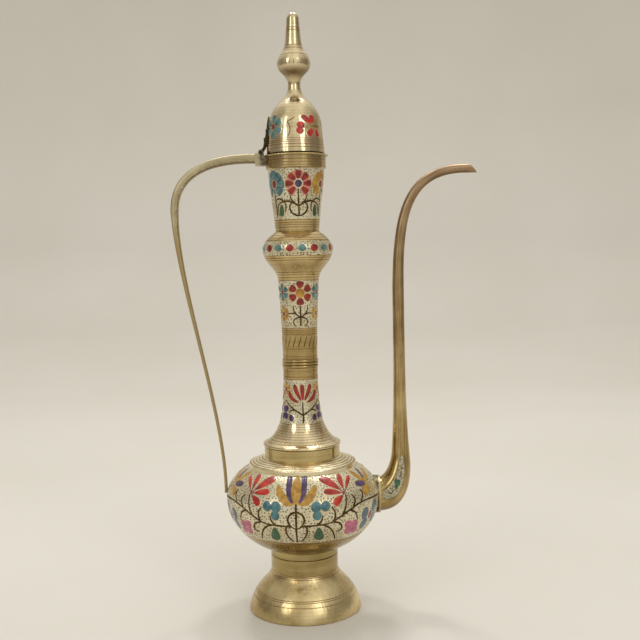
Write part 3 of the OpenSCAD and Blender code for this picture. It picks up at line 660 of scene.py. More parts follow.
neck_outer = bezier(
    (neck_r, neck_z), (neck_r, mix(neck_z, knop_z, 0.3)),
    (mix(neck_r, neck_top_r, 0.4), mix(neck_z, knop_z, 0.7)), (neck_top_r, knop_z), 32,
)
knop_outer = chain(
    bezier((neck_top_r, knop_z), (16.2, knop_z + 9.0),
           (knop_r - 0.5, knop_z + 12.0), (knop_r, knop_mid_z), 28),
    bezier((knop_r, knop_mid_z), (knop_r, knop_mid_z + 5.6), (22.4, cup_z - 4.0), (cup_low_r, cup_z), 24),
)
cup_outer = chain(
    bezier((cup_low_r, cup_z), (18.0, cup_z + 15.5), (20.4, cup_z + 32.9), (cup_r, rim_low_z), 32),
    [(rim_r, rim_low_z + 0.7), (rim_r, rim_z - 2 * rim_edge_r)],
    ellipse((rim_lip_r - rim_edge_r, rim_z - rim_edge_r), rim_edge_r, rim_edge_r, -90, 80, 8),
    [(mouth_r + bevel, rim_z)],
)
lid_outer = chain(
    bezier((lid_r, rim_z), (21.93, rim_z + 6.6), (21.03, rim_z + 13.4), (lid_top_r, lid_side_z), 16),
    bezier((lid_top_r, lid_side_z), (lid_top_r, lid_side_z + 7.8), (17.5, lid_side_z + 15.2),
           (crown_r, crown_z), 32),
)
finial_outer = chain(
    [(0, crown_z - bevel), (crown_r - bevel, crown_z - bevel)],
    bezier((crown_r, crown_z), (6.2, crown_z + 3.9), (waist_r, crown_z + 6.9), (waist_r, waist_z), 20),
    bezier((waist_r, waist_z), (5.3, waist_z + 8.4), (12.8, waist_z + 7.8), (bead_r, bead_z), 24),
    bezier((bead_r, bead_z), (12.4, bead_z + 6.5), (7.4, bead_z + 8.0), (spire_r, spire_z), 24),
    bezier((spire_r, spire_z), (5.65, spire_z + 5.5), (5.14, spire_z + 12.7), (tip_r, tip_z), 14),
    ellipse((0, tip_z), tip_r, finial_top_z - tip_z, 0, 90, 12),
)


# Turned pieces, with their lines as heights above the table

def make_foot():
    """Bell foot with turned lines round its flare, and the plain ring between it and the belly."""
    lines = cuts_at(foot_outer, [12.2, 15.2, 16.4, 29.2, 30.4, 31.6], half=0.26, depth=0.14)
    rim_wide = 3.0
    inner = chain(set_in(foot_outer, foot_wall)[:-RIM_POINTS], [(foot_r - rim_wide, 0)])
    turned("foot_shell", foot_outer, inner, foot_brass, [(stem_z, foot_h, stem_brass)], lines, nodes=["foot"])
    ring_inner_r = 23.6
    ring_inner = [(ring_inner_r, foot_h + base_ring_h), (ring_inner_r, foot_h)]
    turned("base_ring_shell", base_ring_outer, ring_inner, stem_brass, nodes=["base_ring"])


def make_belly():
    """Round belly: stippled ground from the collar down to a line under the flowers, plain brass below it."""
    lines = cuts_at(belly_outer, [63.6, 65.4], half=0.28, depth=0.14)
    turned("belly_shell", belly_outer, set_in(belly_outer, wall), polished, [(*belly_ground_z, ground)],
           lines, nodes=["belly_bowl", "belly_dome"])


def make_collar():
    """Shoulder collar: satin flange, painted pale as a reflection of bright light from above, with ring
    grooves at radii from the axis, and an upright mirror band.
    """
    rings = cuts_at(collar_outer, [31.4, 33.8, 36.2, 38.6, 40.6], half=0.32, depth=0.22, axis=0)
    inner = [(band_r - wall, skirt_z), (band_r - wall, flange_top_z - flange_h)]
    turned("collar_shell", collar_outer, inner, polished, [(0, band_z, satin_brass_painted_sheen)], rings,
           nodes=["shoulder_collar"])


def make_neck():
    """Lower neck with its grooved skirt, the beaded ferrule and the upper neck."""
    skirt_lines = cuts_at(skirt_outer, np.linspace(*skirt_lines_z, 9), half=0.17, depth=0.14)
    upper_lines = cuts_at(skirt_outer, [181.4, 183.0, 187.5], half=0.26, depth=0.14)
    zones = [(*lower_ground_z, ground), (skirt_z, skirt_top_z, bright_brass)]
    turned("neck_lower_shell", skirt_outer, set_in(skirt_outer, wall), worn_brass, zones,
           np.concatenate([skirt_lines, upper_lines]), nodes=["neck_lower"])
    ferrule_inner = [(neck_r - wall, neck_z), (neck_r - wall, ferrule_z)]
    turned("ferrule_shell", ferrule_outer, ferrule_inner, worn_brass, nodes=["neck_ferrule"])
    lines = cuts_at(neck_outer, [199.0, 204.6, 216.0, 217.6, 219.2, 220.6, 257.2], half=0.26, depth=0.14)
    turned("neck_upper_shell", neck_outer, set_in(neck_outer, wall), worn_brass,
           [(*upper_ground_z, ground)], lines, nodes=["neck_upper"])


def make_knop():
    """Round knop with a pale band for its row of dots, between fine lines."""
    heights = [259.6, 261.6, 263.4, 272.6, 274.4, 276.2, 288.0, 289.8, 291.6]
    lines = cuts_at(knop_outer, heights, half=0.25, depth=0.15)
    turned("knop_shell", knop_outer, set_in(knop_outer, wall), cup_brass, [(*knop_ground_z, ground)], lines,
           nodes=["neck_knop"])


def make_cup():
    """Tapering mouth cup with lines at its root and a thick rim band under a thin lip."""
    lines = cuts_at(cup_outer, [297.6, 299.4, 301.2, 303.0, 343.6, 345.6, 347.6], half=0.25, depth=0.14)
    inner = [(mouth_r, rim_z - bevel), (mouth_r, rim_low_z), (cup_r - cup_wall, rim_low_z - 1.0),
             (18.4, cup_z + 20.0), (cup_low_r - cup_wall, cup_z)]
    turned("cup_shell", cup_outer, inner, cup_brass, [(*cup_ground_z, ground)], lines,
           nodes=["mouth_cup"])


def make_lid():
    """Thin domed lid with lines above its edge, a dark band of painted shade from the gap at its lower edge,
    the stud's hole in its crown, and the turned finial.
    """
    lines = cuts_at(lid_outer, [357.0, 359.4, 361.0, 362.4, 363.8], half=0.22, depth=0.13)
    crown_points = 2
    inner = chain([(stud_r, crown_z), (stud_r, crown_z - wall)], set_in(lid_outer, wall)[crown_points:])
    turned("lid_shell", lid_outer, inner, bright_brass, [(*lid_gap_shade_z, lid_gap_shade)], lines, "lid",
           ["lid_dome"])
    steps = cuts_at(finial_outer, [427.6, 432.6, 435.0, 446.2, 448.2], half=0.24, depth=0.13)
    turned("finial_shell", finial_outer, None, bright_brass, cuts=steps, body="lid", nodes=["lid_finial"])


# Handle and spout

def swept(path, slope, half_thick, half_wide, sides, square=1.0):
    """Rings along a path in the XZ plane, thick square to the slope and wide along Y: the section is the
    cosine and sine of the way round, each raised to a power that makes it squarer as it falls below 1."""
    angle = np.linspace(0, 2 * np.pi, sides, endpoint=False)
    across = np.sign(np.cos(angle)) * np.abs(np.cos(angle)) ** square
    along_y = np.sign(np.sin(angle)) * np.abs(np.sin(angle)) ** square
    offset = half_thick[:, None] * across
    return np.stack([
        path[:, :1] + slope[:, 1:] * offset,
        half_wide[:, None] * along_y,
        path[:, 1:] - slope[:, :1] * offset,
    ], axis=-1)


def make_handle():
    """Bowed handle: a squarish bar swept along two curves from the hinge bracket to the belly. It thins
    evenly along the bow and then by the fourth power of the way left, and narrows after the bow by the square
    root of the way run."""
    bow = bezier((handle_x, handle_z), (-59.8, 351.44), (bow_x, 345.1), (bow_x, bow_z), 40)
    run = bezier((bow_x, bow_z), (bow_x, 256.4), (-59.2, 153.7), (-60.175, 92.57), 80)
    path = chain(bow, run)
    on_bow = np.linspace(0, 1, len(bow))
    on_run = np.linspace(0, 1, len(run))[1:]
    root_thick, foot_thick, foot_wide = 7.2, 2.3, 5.6
    thick = np.concatenate([
        mix(root_thick, handle_thick, on_bow), mix(foot_thick, handle_thick, (1 - on_run) ** 4),
    ])
    wide = np.concatenate([np.full(len(bow), handle_wide), mix(handle_wide, foot_wide, np.sqrt(on_run))])
    sides = 24
    rings = swept(path, unit(np.gradient(path, axis=0)), thick / 2, wide / 2, sides, square=0.55)
    points, faces = capped(rings, np.array([[x, 0, z] for x, z in path[[0, -1]]]))
    piece = make_piece("handle_bar", points, faces, [handle_brass], 0, "vessel", ["handle"])
    map_along(piece, distance_along(path), sides)
    map_under(piece)


def spout_stations():
    """Path, direction and radius of the spout at its stations: an elbow set between its two side curves, an
    upright run that tapers by the fourth power of the way left, and a crook that tapers by its square and
    ends in the beak."""
    upper = bezier((spout_root_x, 101.4), (63.2, 101.4), (68.5, 108.8), (69.9, elbow_z), 24)
    lower = bezier((spout_root_x, 75.0), (78.1, 75.0), (86.9, 92.1), (84.1, elbow_z), 24)
    on_rise = np.linspace(0, 1, 40)[1:]
    on_crook = np.linspace(0, 1, 50)[1:]
    rise = np.stack([np.full_like(on_rise, spout_x), mix(elbow_z, crook_z, on_rise)], axis=1)
    crook = cubic(((spout_x, crook_z), (77.5, 305.2), (84.1, beak_z), (beak_x - beak_long, beak_z)), on_crook)
    path = np.concatenate([(upper + lower) / 2, rise, crook, [(beak_x, beak_z)]])
    slope = np.gradient(path, axis=0)
    side = upper - lower
    slope[:len(side)] = np.stack([side[:, 1], -side[:, 0]], axis=1)
    slope[-1] = (1, 0)
    radius = np.concatenate([
        np.linalg.norm(side, axis=1) / 2, mix(crook_r, elbow_r, (1 - on_rise) ** 4),
        mix(beak_r, crook_r, (1 - on_crook) ** 2), [beak_r],
    ])
    return path, unit(slope), radius


def make_spout():
    """Swan-neck spout: a tapering tube swept up from the belly, its inner wall set in, its beak cut oblique
    by moving each point of the last rings back in step with its height."""
    path, slope, radius = spout_stations()
    sides = 40
    outer = swept(path, slope, radius, radius, sides)
    inner = swept(path, slope, radius - spout_wall, radius - spout_wall, sides)
    for rings in (outer, inner):
        rings[-1, :, 0] -= (rings[-1, :, 2] - beak_z) * beak_slant / beak_r
    points = np.concatenate([outer, inner[::-1]]).reshape(-1, 3)
    faces = [grid_faces(2 * len(path), sides, True)]
    inside = np.repeat(np.arange(2 * len(path)) >= len(path), sides)
    # The inner wall takes the dark brass: painted shade inside the tube, partly tarnish
    piece = make_piece("spout_tube", points, faces, [spout_brass, dark_brass], inside, "vessel",
                       ["spout"])
    along = distance_along(path)
    map_along(piece, np.concatenate([along, along[::-1]]), sides)
    map_under(piece)


# Tools of the enamel inlays, which are drawn on panels

PETAL_RINGS = 9
PETAL_SIDES = 8
VINE_RINGS = 25
LEAF_SIDES = 24
EDGE_LIFT = 0.1
PETAL_LIFT = 0.24
BENT_LIFT = 0.26
EDGE_RIM = 0.45
EDGE_REACH = 0.35
ROOT_SHARE = 0.2
MIRRORED = (1, -1)
inlays = {}


class Panel:
    """Face of a turned piece with flat coordinates: x runs round it from a middle line, at an angle in
    degrees from the front, and y along its profile from a level."""

    def __init__(self, profile, angle, level, body="vessel"):
        self.profile = profile
        self.along = distance_along(profile)
        self.start = np.interp(level, profile[:, 1], self.along)
        self.angle = math.radians(angle)
        self.body = body

    def at(self, s, axis):
        """Radius (axis 0) or height (axis 1) of the profile at distances along it."""
        return np.interp(s, self.along, self.profile[:, axis])

    def place(self, x, y, lift):
        """Points in space: the profile at a distance y, turned by x over its radius, moved out by a lift."""
        s = self.start + y
        step = 0.4
        out, rise = (self.at(s + step, axis) - self.at(s - step, axis) for axis in (0, 1))
        length = np.hypot(rise, out)
        radius = self.at(s, 0)
        angle = self.angle + x / radius
        far = radius + lift * rise / length
        height = self.at(s, 1) - lift * out / length
        return np.stack([far * np.sin(angle), -far * np.cos(angle), height], axis=-1)


class TubePanel:
    """Front (face 1) or back (face -1) of the spout with flat coordinates: x runs round the tube from its
    side line, and y along its path."""

    def __init__(self, face):
        self.path, self.slope, self.radius = spout_stations()
        self.along = distance_along(self.path)
        self.face = face
        self.body = "vessel"

    def at(self, values, s):
        """Values of the stations between them, at distances along the path."""
        return np.interp(s, self.along, values)

    def place(self, x, y, lift):
        """Points in space: the tube's middle line at a distance y, and its radius and the lift turned by x
        over the radius."""
        radius = self.at(self.radius, y)
        turn = self.face * x / radius
        far = radius + lift
        across = far * np.sin(turn)
        return np.stack([
            self.at(self.path[:, 0], y) + self.at(self.slope[:, 1], y) * across,
            -self.face * far * np.cos(turn),
            self.at(self.path[:, 1], y) - self.at(self.slope[:, 0], y) * across,
        ], axis=-1)


def stroke(panel, colour, path, width, lift, fat=0.0, blunt=0.7, rings=PETAL_RINGS, sides=PETAL_SIDES,
           flip=1):
    """Closed lens on a panel along a curve of four points, or straight between two: its half width is the
    sine of the way along, to the power blunt, fatter towards the root (fat above 0) or the tip (below 0). Its
    section is an ellipse as high as the lift times the sine's square root. Flip -1 mirrors it."""
    control = np.asarray(path, float) * (flip, 1)
    if len(control) == 2:
        root, tip = control
        control = [mix(root, tip, share) for share in (0, 1 / 3, 2 / 3, 1)]
    way = np.linspace(0, np.pi, rings)
    middle = cubic(control, (1 - np.cos(way)) / 2)
    slope = unit(np.gradient(middle, axis=0))
    sine = np.sin(way).clip(0)
    swell = sine ** blunt * (1 + fat * np.cos(way))
    half = width / 2 * swell / swell.max()
    ring = np.linspace(0, 2 * np.pi, sides, endpoint=False)
    beside = half[:, None] * np.cos(ring)
    up = lift * np.sqrt(sine)[:, None] * np.sin(ring)
    x = middle[:, :1] - slope[:, 1:] * beside
    y = middle[:, 1:] + slope[:, :1] * beside
    inlays.setdefault((panel.body, colour, rings, sides), []).append(panel.place(x, y, up))


def petal(panel, colour, root, tip, width, fat=-0.3, blunt=0.7, flip=1, edge="edge", rim=EDGE_RIM):
    """Coloured petal from its root to its tip, on an edge that stands out by a rim."""
    root = np.asarray(root, float)
    tip = np.asarray(tip, float)
    out = (tip - root) / np.linalg.norm(tip - root) * EDGE_REACH
    stroke(panel, edge, (root - out, tip + out), width + 2 * rim, EDGE_LIFT, fat, blunt, flip=flip)
    stroke(panel, colour, (root, tip), width, PETAL_LIFT, fat, blunt, flip=flip)


def bent_petal(panel, colour, path, width, fat=0.0, blunt=0.7, flip=1):
    """Coloured petal along a curve on a slightly wider pale brass edge."""
    stroke(panel, "edge", path, width + 2 * EDGE_RIM, EDGE_LIFT, fat, blunt, flip=flip)
    stroke(panel, colour, path, width, BENT_LIFT, fat, blunt, flip=flip)


def dot(panel, colour, centre, across, tall, flip=1):
    """Round dot with a pale edge: a short petal with the outline of an ellipse."""
    x, y = centre
    petal(panel, colour, (x, y - tall / 2), (x, y + tall / 2), across, fat=0.0, blunt=1.0, flip=flip)


def vine(panel, path, width, flip=1, lift=0.16):
    """Thin dark stem along a curve."""
    stroke(panel, "vine", path, width, lift, fat=0.2, blunt=0.25, rings=VINE_RINGS, flip=flip)


def rib(panel, colour, root, tip, flip=1):
    """Thin straight line raised on a petal."""
    stroke(panel, colour, (root, tip), width=0.8, lift=0.34, blunt=0.3, flip=flip)


def round_flower(panel, colour, heart, centre, petals, inner, outer, width, heart_size=1.9, skip=(),
                 **edging):
    """Flower of petals from an inner to an outer radius, set evenly round a dot, its heart, the first one
    upwards, without those to skip."""
    for i in range(petals):
        if i in skip:
            continue
        turn = math.radians(90 - 360 * i / petals)
        way = np.array([math.cos(turn), math.sin(turn)])
        petal(panel, colour, way * inner + centre, way * outer + centre, width, blunt=0.5, **edging)
    dot(panel, heart, centre, heart_size * inner, heart_size * inner)


# Patterns, with places as millimetres across and up a panel

def angles_round(count, first=0.0):
    """Angles in degrees of a count of places set evenly round a turned piece."""
    return [first + 360 / count * i for i in range(count)]


def tulip(panel, x, y):
    """Ochre tulip with a violet stripe each side of its middle petal."""
    side_petal = np.array([(0.6, 2.2), (9.5, 0.4), (12.6, 5.0), (13.6, 15.0)])
    stripe = np.array([(1.8, 0.4), (8.2, 5.0), (4.6, 15.0), (5.6, 24.4)])
    for flip in MIRRORED:
        bent_petal(panel, "ochre", side_petal * (flip, 1) + (x, y), 8.4, fat=0.3, blunt=0.65)
    petal(panel, "ochre", (x, y - 0.6), (x, y + 26), 9.4, fat=0.5, blunt=0.75)
    for flip in MIRRORED:
        stroke(panel, "violet", stripe * (flip, 1) + (x, y), width=4.4, lift=0.4, fat=-0.2, blunt=0.35)


def side_fan(panel, flip):
    """Ochre and violet petals that fan out from a hub, with a blue flower under them."""
    form = {"fat": -0.2, "blunt": 0.6, "flip": flip}
    bent_petal(panel, "ochre", [(-1.0, 15.6), (-5.0, 19.0), (-7.6, 23.0), (-8.2, 30.4)], 5.8, **form)
    petal(panel, "violet", (-2.1, 18.5), (2.8, 29.2), 3.8, **form)
    bent_petal(panel, "ochre", [(1.0, 16.0), (4.0, 20.0), (8.0, 23.0), (14.0, 25.0)], 5.8, **form)
    petal(panel, "violet", (-5.0, 15.6), (-16.8, 16.6), 5.6, fat=0.0, blunt=0.8, flip=flip)
    petal(panel, "ochre", (-3.4, 12.6), (-13.6, 7.6), 6.6, **form)
    for centre in [(-14.2, -7.4), (-12.2, -16.2), (-1.0, -4.2), (0.8, -13.4)]:
        dot(panel, "blue", centre, 9.6, 10.2, flip)
    dot(panel, "brick", (-6.6, -10.0), 6.2, 7.2, flip)


def red_spray(panel, flip):
    """Five red petals fanning out from a hub, each with a rib at its root."""
    hub = np.array((37.7, 12.1))
    tips = [(42.6, 26.0), (31.6, 29.8), (16.6, 28.8), (20.2, 15.6), (28.4, 4.8)]
    widths = [4.9, 5.2, 6.8, 5.4, 6.4]
    rib_share = 0.35
    for tip, width in zip(np.array(tips), widths):
        root = mix(hub, tip, ROOT_SHARE)
        petal(panel, "red", root, tip, width, fat=-0.5, blunt=0.75, flip=flip)
        rib(panel, "brick", hub, mix(root, tip, rib_share), flip)


def belly_side(panel, flip):
    """One half of the belly's bouquet: spray, trefoil, pink flower, leaf and the vines that join them."""
    red_spray(panel, flip)
    for centre, size in [((15.0, 4.3), 8.5), ((21.8, 4.4), 7.7), ((15.6, -2.0), 7.4)]:
        dot(panel, "teal", centre, size, size, flip)
    for centre in [(40.6, -12.8), (46.4, -13.4), (40.2, -18.6), (45.8, -19.0)]:
        dot(panel, "pink", centre, 8.2, 7.8, flip)
    petal(panel, "green", (16.0, -24.0), (16.4, -11.2), 8.0, fat=0.4, blunt=0.8, flip=flip)
    vines = [
        [(0, 1.0), (8.5, -0.5), (7.5, -9.0), (0.3, -12.5)],
        [(5.6, -9.0), (10.0, -11.0), (7.5, -20.0), (2.2, -25.0)],
        [(3.0, -10.5), (14.0, -9.0), (22.0, -10.5), (28.0, -7.5)],
        [(28.0, -7.5), (38.0, -3.0), (48.0, 4.0), (64.0, 3.0)],
        [(62.0, 3.2), (70.0, 2.8), (76.0, 2.5), (84.0, 2.0)],
        [(15.0, -9.6), (18.0, -8.0), (20.0, -5.0), (19.5, -2.0)],
        [(27.8, -7.6), (30.5, -4.0), (30.0, 1.0), (26.4, 3.0)],
        [(35.4, -3.2), (38.5, 0.0), (40.0, 6.0), (38.0, 11.7)],
        [(44.8, 1.3), (48.0, 3.0), (49.0, 7.0), (43.4, 10.0)],
        [(53.0, 3.4), (57.0, 6.0), (57.0, 10.0), (53.0, 12.0)],
        [(19.8, -10.0), (25.0, -11.0), (28.5, -17.0), (28.1, -24.7)],
        [(27.7, -8.5), (36.0, -8.0), (37.0, -18.0), (29.2, -16.5)],
        [(41.9, -1.2), (47.0, -2.0), (50.0, -6.0), (49.0, -11.0)],
    ]
    for path in vines:
        vine(panel, path, 1.6, flip)


def belly_flowers():
    """Bouquets on the belly's front and back, with a tulip in the middle and a fan at each side."""
    side_angle = 71
    for angle in (-5.5, 185.5):
        panel = Panel(belly_outer, angle, belly_z)
        tulip(panel, 0.0, 7.0)
        vine(panel, [(0, 7), (0.4, -4), (-0.4, -14), (0, -26)], 1.7)
        for flip in MIRRORED:
            belly_side(panel, flip)
            side_fan(Panel(belly_outer, angle + side_angle * flip, belly_z), flip)


def lower_neck_flowers():
    """Three red tulips round the lower neck, with vines and berries, and an ochre flower between each two."""
    level = 165.0
    for angle in angles_round(3, first=5.0):
        panel = Panel(skirt_outer, angle, level)
        petal(panel, "ruby", (0, 0.2), (-0.3, 13.0), 3.9)
        vine(panel, [(0, -17.0), (0.3, -12.0), (-0.3, -6.0), (0, -0.4)], 1.2)
        for flip in MIRRORED:
            inner = [(1.6, 0.4), (2.6, 4.0), (6.2, 8.0), (5.8, 13.0)]
            outer = [(3.4, -0.8), (6.0, 0.0), (11.0, 2.0), (11.2, 8.0)]
            for path in (inner, outer):
                bent_petal(panel, "ruby", path, 3.8, fat=-0.3, flip=flip)
            vine(panel, [(0, -11.0), (4.0, -8.0), (9.0, -6.0), (15.0, 0.6)], 1.3, flip)
            vine(panel, [(5.0, -7.4), (8.0, -6.4), (10.0, -7.0), (11.5, -8.4)], 1.1, flip)
            for centre in [(9.4, -13.0), (14.8, -11.8), (16.6, -6.4)]:
                dot(panel, "violet", centre, 4.8, 5.4, flip)
        between_tulips = Panel(skirt_outer, angle + 60, level)
        round_flower(between_tulips, "ochre", "brick", (0, 9.0), petals=5, inner=1.4, outer=4.8, width=3.5)


def upper_neck_flowers():
    """Three red flowers round the upper neck, with teal and ochre flowers between them."""
    for angle in angles_round(3, first=4.0):
        panel = Panel(neck_outer, angle, level=247.8)
        round_flower(panel, "ruby", "ochre", (0, 0), petals=6, inner=3.6, outer=9.2, width=6.4,
                     heart_size=2.1)
        vine(panel, [(0, -25.0), (0.5, -18.0), (-0.4, -12.0), (0, -7.8)], 1.3)
        for flip in MIRRORED:
            vine(panel, [(0, -18.6), (3.4, -16.6), (6.6, -13.4), (5.2, -9.4)], 1.1, flip)
            vine(panel, [(2.4, -16.6), (4.6, -15.0), (7.4, -15.6), (10.6, -15.6)], 1.1, flip)
            vine(panel, [(0.4, -18.8), (6.0, -18.6), (6.8, -22.6), (3.2, -26.0)], 1.1, flip)
        between_flowers = Panel(neck_outer, angle + 60, level=247.2)
        round_flower(between_flowers, "sea", "brick", (0, 1.0), petals=6, inner=1.9, outer=6.6, width=4.6)
        round_flower(between_flowers, "ochre", "brick", (0, -15.4), petals=6, inner=1.9, outer=5.8, width=4.2)


def neck_strokes():
    """Row of slanting cuts round the upper neck under its flowers."""
    slant = [(-1.1, -4.2), (-0.8, -1.4), (0.8, 1.4), (1.1, 4.2)]
    for angle in angles_round(20):
        panel = Panel(neck_outer, angle, level=210.4)
        stroke(panel, "cut", slant, width=0.9, lift=0.1, fat=0.2, blunt=0.5)


def spout_panels():
    """Pale leaf-shaped panel on each side of the spout's elbow, with a green flower and small scrolls."""
    leaf = [(-1.4, 2.0), (-0.6, 14.0), (0.2, 24.0), (0.2, 40.0)]
    leaf_form = {"fat": 0.45, "blunt": 0.9, "rings": VINE_RINGS, "sides": LEAF_SIDES}
    scrolls = [
        [(-3.6, 8.0), (0.0, 7.0), (1.0, 11.0), (-2.2, 12.4)],
        [(-1.6, 23.4), (2.0, 24.4), (0.6, 28.4), (-1.2, 26.2)],
        [(-0.4, 29.2), (1.2, 30.0), (0.4, 32.8), (-0.4, 31.8)],
    ]
    for face in MIRRORED:
        panel = TubePanel(face)
        stroke(panel, "vine", leaf, width=10.8, lift=0.18, **leaf_form)
        stroke(panel, "panel", leaf, width=10.2, lift=0.26, **leaf_form)
        for x, y in [(-2.2, 18.2), (-0.6, 16.6), (0.0, 19.2)]:
            stroke(panel, "green", [(x, y - 2.4), (x, y + 2.4)], width=4.2, lift=0.5, blunt=0.8)
        for path in scrolls:
            vine(panel, path, 1.0, lift=0.45)


def knop_dots():
    """Eighteen round dots on the knop's band, teal and red in turn."""
    for i, angle in enumerate(angles_round(18, first=7.2)):
        panel = Panel(knop_outer, angle, level=282.0)
        dot(panel, "ruby" if i % 2 else "sea", (0, 0), 6.5, 5.8)


def cup_flowers():
    """Six flowers round the cup in red, ochre and teal, with vines and leaves spreading from the red ones."""
    form = {"petals": 8, "inner": 3.7, "outer": 10.0, "width": 5.2, "heart_size": 1.6, "rim": 0.8}
    petal_down = 4
    colours = [("ruby", "violet", "rose"), ("ochre", "brick", "ochre"), ("sea", "brick", "blue")] * 2
    side_vines = [
        (1.4, [(0, -17.0), (3.0, -15.0), (6.4, -12.0), (6.4, -8.4)]),
        (1.4, [(0.4, -24.2), (9.0, -22.0), (8.0, -14.0), (3.0, -13.6)]),
        (1.6, [(3.4, -14.6), (8.0, -12.0), (13.0, -12.6), (17.0, -15.6)]),
        (1.3, [(12.0, -13.0), (14.0, -10.6), (17.0, -10.4), (20.0, -12.4)]),
        (1.1, [(11.6, -13.2), (9.4, -15.0), (9.4, -19.0), (10.8, -21.0)]),
        (1.1, [(16.4, -15.0), (18.0, -17.0), (18.0, -21.0), (16.4, -23.4)]),
    ]
    for angle, (colour, heart, edge) in zip(angles_round(len(colours), first=4.5), colours):
        panel = Panel(cup_outer, angle, level=330.0)
        round_flower(panel, colour, heart, (0, 0), skip=(petal_down,), edge=edge, **form)
        vine(panel, [(0, -24.5), (0.4, -18.0), (-0.4, -10.0), (0, -3.6)], 1.3)
        if colour != "ruby":
            continue
        for flip in MIRRORED:
            for width, path in side_vines:
                vine(panel, path, width, flip)
            petal(panel, "green", (13.6, -24.6), (13.6, -15.6), 4.8, fat=0.3, flip=flip)


def lid_flowers():
    """Four motifs round the lid: teal flowers and red sprays in turn, with an engraved stroke between."""
    rib_share = 0.3
    for angle in angles_round(2, first=44.0):
        panel = Panel(lid_outer, angle, level=372.7, body="lid")
        for tip, width in [((-10.0, 7.4), 5.2), ((-2.2, 8.6), 5.4), ((-6.2, -7.6), 5.4), ((4.2, -7.8), 4.6)]:
            root = np.array(tip) * ROOT_SHARE
            petal(panel, "red", root, tip, width, fat=-0.4)
            rib(panel, "ochre", (0, 0), mix(root, np.array(tip), rib_share))
        dot(panel, "red", (-11.4, 0.4), 6.8, 5.4)
        dot(panel, "red", (-12.4, -3.6), 6.2, 5.4)
        rib(panel, "ochre", (0.6, 0), (-9.4, -1.4))
        vine(panel, [(0, 0), (2.4, 0.2), (4.0, 0.0), (6.0, -1.0)], 0.9)
    for angle in angles_round(2, first=-54.0):
        panel = Panel(lid_outer, angle, level=373.0, body="lid")
        round_flower(panel, "sea", "brick", (0, 0), petals=6, inner=2.4, outer=9.3, width=5.9)
    for angle in angles_round(4, first=-13.0):
        panel = Panel(lid_outer, angle, level=371.0, body="lid")
        stem = [(-1.0, -6.6), (2.0, -2.0), (1.0, 2.0), (-1.4, 5.0)]
        barb = [(-1.4, 5.0), (1.0, 6.0), (3.0, 7.0), (4.6, 8.6)]
        for path, width in [(stem, 0.8), (barb, 0.7)]:
            stroke(panel, "cut", path, width, lift=0.12, blunt=0.4, rings=VINE_RINGS)


def finial_cuts():
    """Row of short upright cuts round the finial's bead."""
    for angle in angles_round(24):
        panel = Panel(finial_outer, angle, bead_z, body="lid")
        stroke(panel, "copper", ((0, -1.8), (0, 1.8)), width=0.7, lift=0.08, blunt=0.4)


def make_inlays():
    """One mesh for each colour and size of grid on each body: every lens is a grid of rings closed by a
    point at each end."""
    for (body, colour, _, _), grids in inlays.items():
        grid = np.stack(grids)
        rings = grid[:, 1:-1]
        ends = grid[:, [0, -1]].mean(axis=2)
        points = np.concatenate([rings.reshape(len(grid), -1, 3), ends], axis=1)
        first = (np.arange(len(grid)) * points.shape[1])[:, None, None]
        faces = [(group + first).reshape(-1, group.shape[1]) for group in capped(rings[0], ends[0])[1]]
        make_piece(f"{body}_{colour}_inlay", points.reshape(-1, 3), faces, [FILLS[colour]], 0, body,
                   sharp=80)


# Assembly

def dress_kept_nodes():
    """Gives the CAD pieces that stay their own brass: hinge, inner pieces of the lid, spout's flange."""
    finishes = {
        "lid_bezel": inner_brass, "finial_washer": inner_brass, "hinge_leaf": dark_brass,
        "leaf_rivets": dark_brass, "hinge_bracket": bracket_brass, "hinge_pin": dark_brass,
        "spout_flange": flange_brass,
    }
    for name, finish in finishes.items():
        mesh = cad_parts[name].data
        mesh.materials.clear()
        mesh.materials.append(finish)


make_foot()
make_belly()
make_collar()
make_neck()
make_knop()
make_cup()
make_lid()
make_handle()
make_spout()
belly_flowers()
lower_neck_flowers()
upper_neck_flowers()
knop_dots()
neck_strokes()
cup_flowers()
lid_flowers()
finial_cuts()
spout_panels()
make_inlays()
dress_kept_nodes()


# Floor, light and camera, in metres

def make_floor():
    """Plain pale floor that curves up into a backdrop: one outline from front to back, carried sideways."""
    depth = np.array([-2.5, -1.0, 0.0, 1.2, 1.7, 2.05, 2.2, 2.2, 2.2])
    height = np.array([0.0, 0.0, 0.0, 0.0, 0.08, 0.3, 0.7, 1.1, 1.6])
    side = np.linspace(-4.0, 4.0, 9)
    grid = np.stack(np.broadcast_arrays(side[None, :], depth[:, None], height[:, None]), axis=-1)
    rows, columns = grid.shape[:2]
    corner = np.arange(rows - 1)[:, None] * columns + np.arange(columns - 1)
    quads = np.stack([corner, corner + 1, corner + columns + 1, corner + columns], axis=-1).reshape(-1, 4)
    mesh = bpy.data.meshes.new("floor")
    mesh.from_pydata(grid.reshape(-1, 3).tolist(), [], quads.tolist())
    mesh.polygons.foreach_set("use_smooth", np.ones(len(quads), bool))
    material, tree, shader, coords = new_finish("pale_floor")
    tone = noise(tree, coords, scale=3.0, detail=3.0)
    pale = ramp(tree, tone, (222, 217, 207), (227, 222, 213), start=0.3, end=0.7)
    surface(tree, shader, pale, rough=0.7, metallic=0.0)
    mesh.materials.append(material)
    floor = bpy.data.objects.new("floor", mesh)
    bpy.context.collection.objects.link(floor)


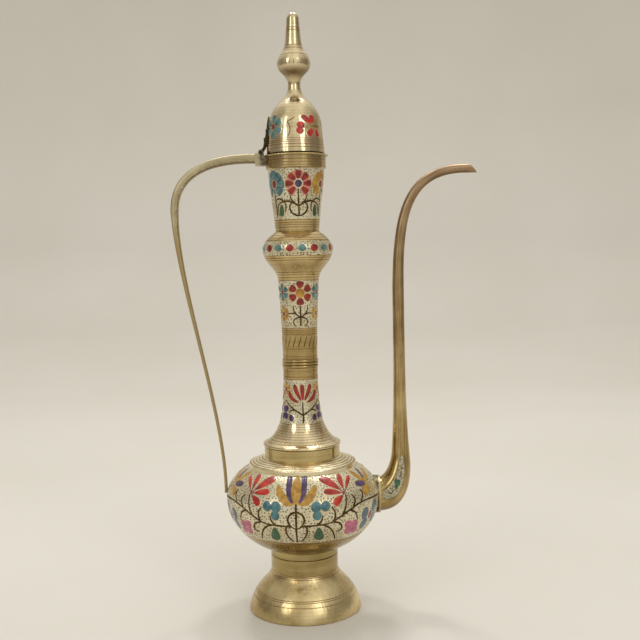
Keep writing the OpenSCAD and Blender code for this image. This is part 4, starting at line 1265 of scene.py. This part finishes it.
def make_light(name, place, wide, tall, power):
    """Soft rectangular lamp at a place, turned to the middle of the part."""
    lamp = bpy.data.lights.new(name, "AREA")
    lamp.shape = "RECTANGLE"
    lamp.size = wide
    lamp.size_y = tall
    lamp.energy = power
    holder = bpy.data.objects.new(name, lamp)
    holder.location = place
    part_middle = (0.0, 0.0, 0.22)
    way = np.subtract(part_middle, place)
    flat = math.hypot(way[0], way[1])
    holder.rotation_euler = (math.atan2(flat, -way[2]), 0, math.atan2(-way[0], way[1]))
    bpy.context.collection.objects.link(holder)


def make_world():
    """Pale light from all round: brightest from above, dimmer low down and at the sides, in upright bands."""
    world = bpy.data.worlds.new("studio")
    bpy.context.scene.world = world
    world.use_nodes = True
    tree = world.node_tree
    way = node(tree, "TexCoord").outputs["Generated"]
    height = spread(tree, part_of(tree, way, "Z"), 0.62, 0.85, start=0.1, end=0.6)
    streaks = noise(tree, way, scale=2.2, detail=1.0, stretch=(1, 1, 0.25))
    bands = spread(tree, streaks, 0.75, 1.0, start=0.35, end=0.65)
    beside = reckon(tree, "ABSOLUTE", part_of(tree, way, "X"))
    sides = spread(tree, beside, 1.0, 0.3, start=0.4, end=0.9)
    lit = product(tree, height, bands, sides)
    back = tree.nodes["Background"]
    feed(tree, back.inputs["Color"], blend(tree, lit, srgb(70, 63, 50), srgb(255, 253, 246)))
    back.inputs["Strength"].default_value = 1.12


def make_camera():
    """Camera at the photograph's angle: a little above the middle, tilted down, and turned and rolled."""
    turn, tilt, roll = -1.235, 4.05, -1.195
    camera = bpy.data.cameras.new("camera")
    camera.lens = 54.0
    camera.sensor_width = 36.0
    holder = bpy.data.objects.new("camera", camera)
    holder.location = (0.0, -0.7423, 0.2785)
    turned_by = Matrix.Rotation(math.radians(turn), 4, "Z")
    tilted_by = Matrix.Rotation(math.radians(90 - tilt), 4, "X")
    rolled_by = Matrix.Rotation(math.radians(roll), 4, "Z")
    holder.rotation_euler = (turned_by @ tilted_by @ rolled_by).to_euler()
    bpy.context.collection.objects.link(holder)
    bpy.context.scene.camera = holder


make_floor()
make_light("left_window", (-1.39, -1.44, 1.2), wide=0.55, tall=1.1, power=4.8)
make_light("right_window", (1.03, -1.71, 1.2), wide=0.5, tall=1.1, power=4.4)
make_light("left_lamp", (-0.34, 0.68, 1.75), wide=0.24, tall=0.24, power=5.0)
make_light("right_lamp", (0.34, 0.68, 1.75), wide=0.24, tall=0.24, power=5.0)
make_world()
make_camera()
bpy.context.scene.view_settings.view_transform = "Standard"
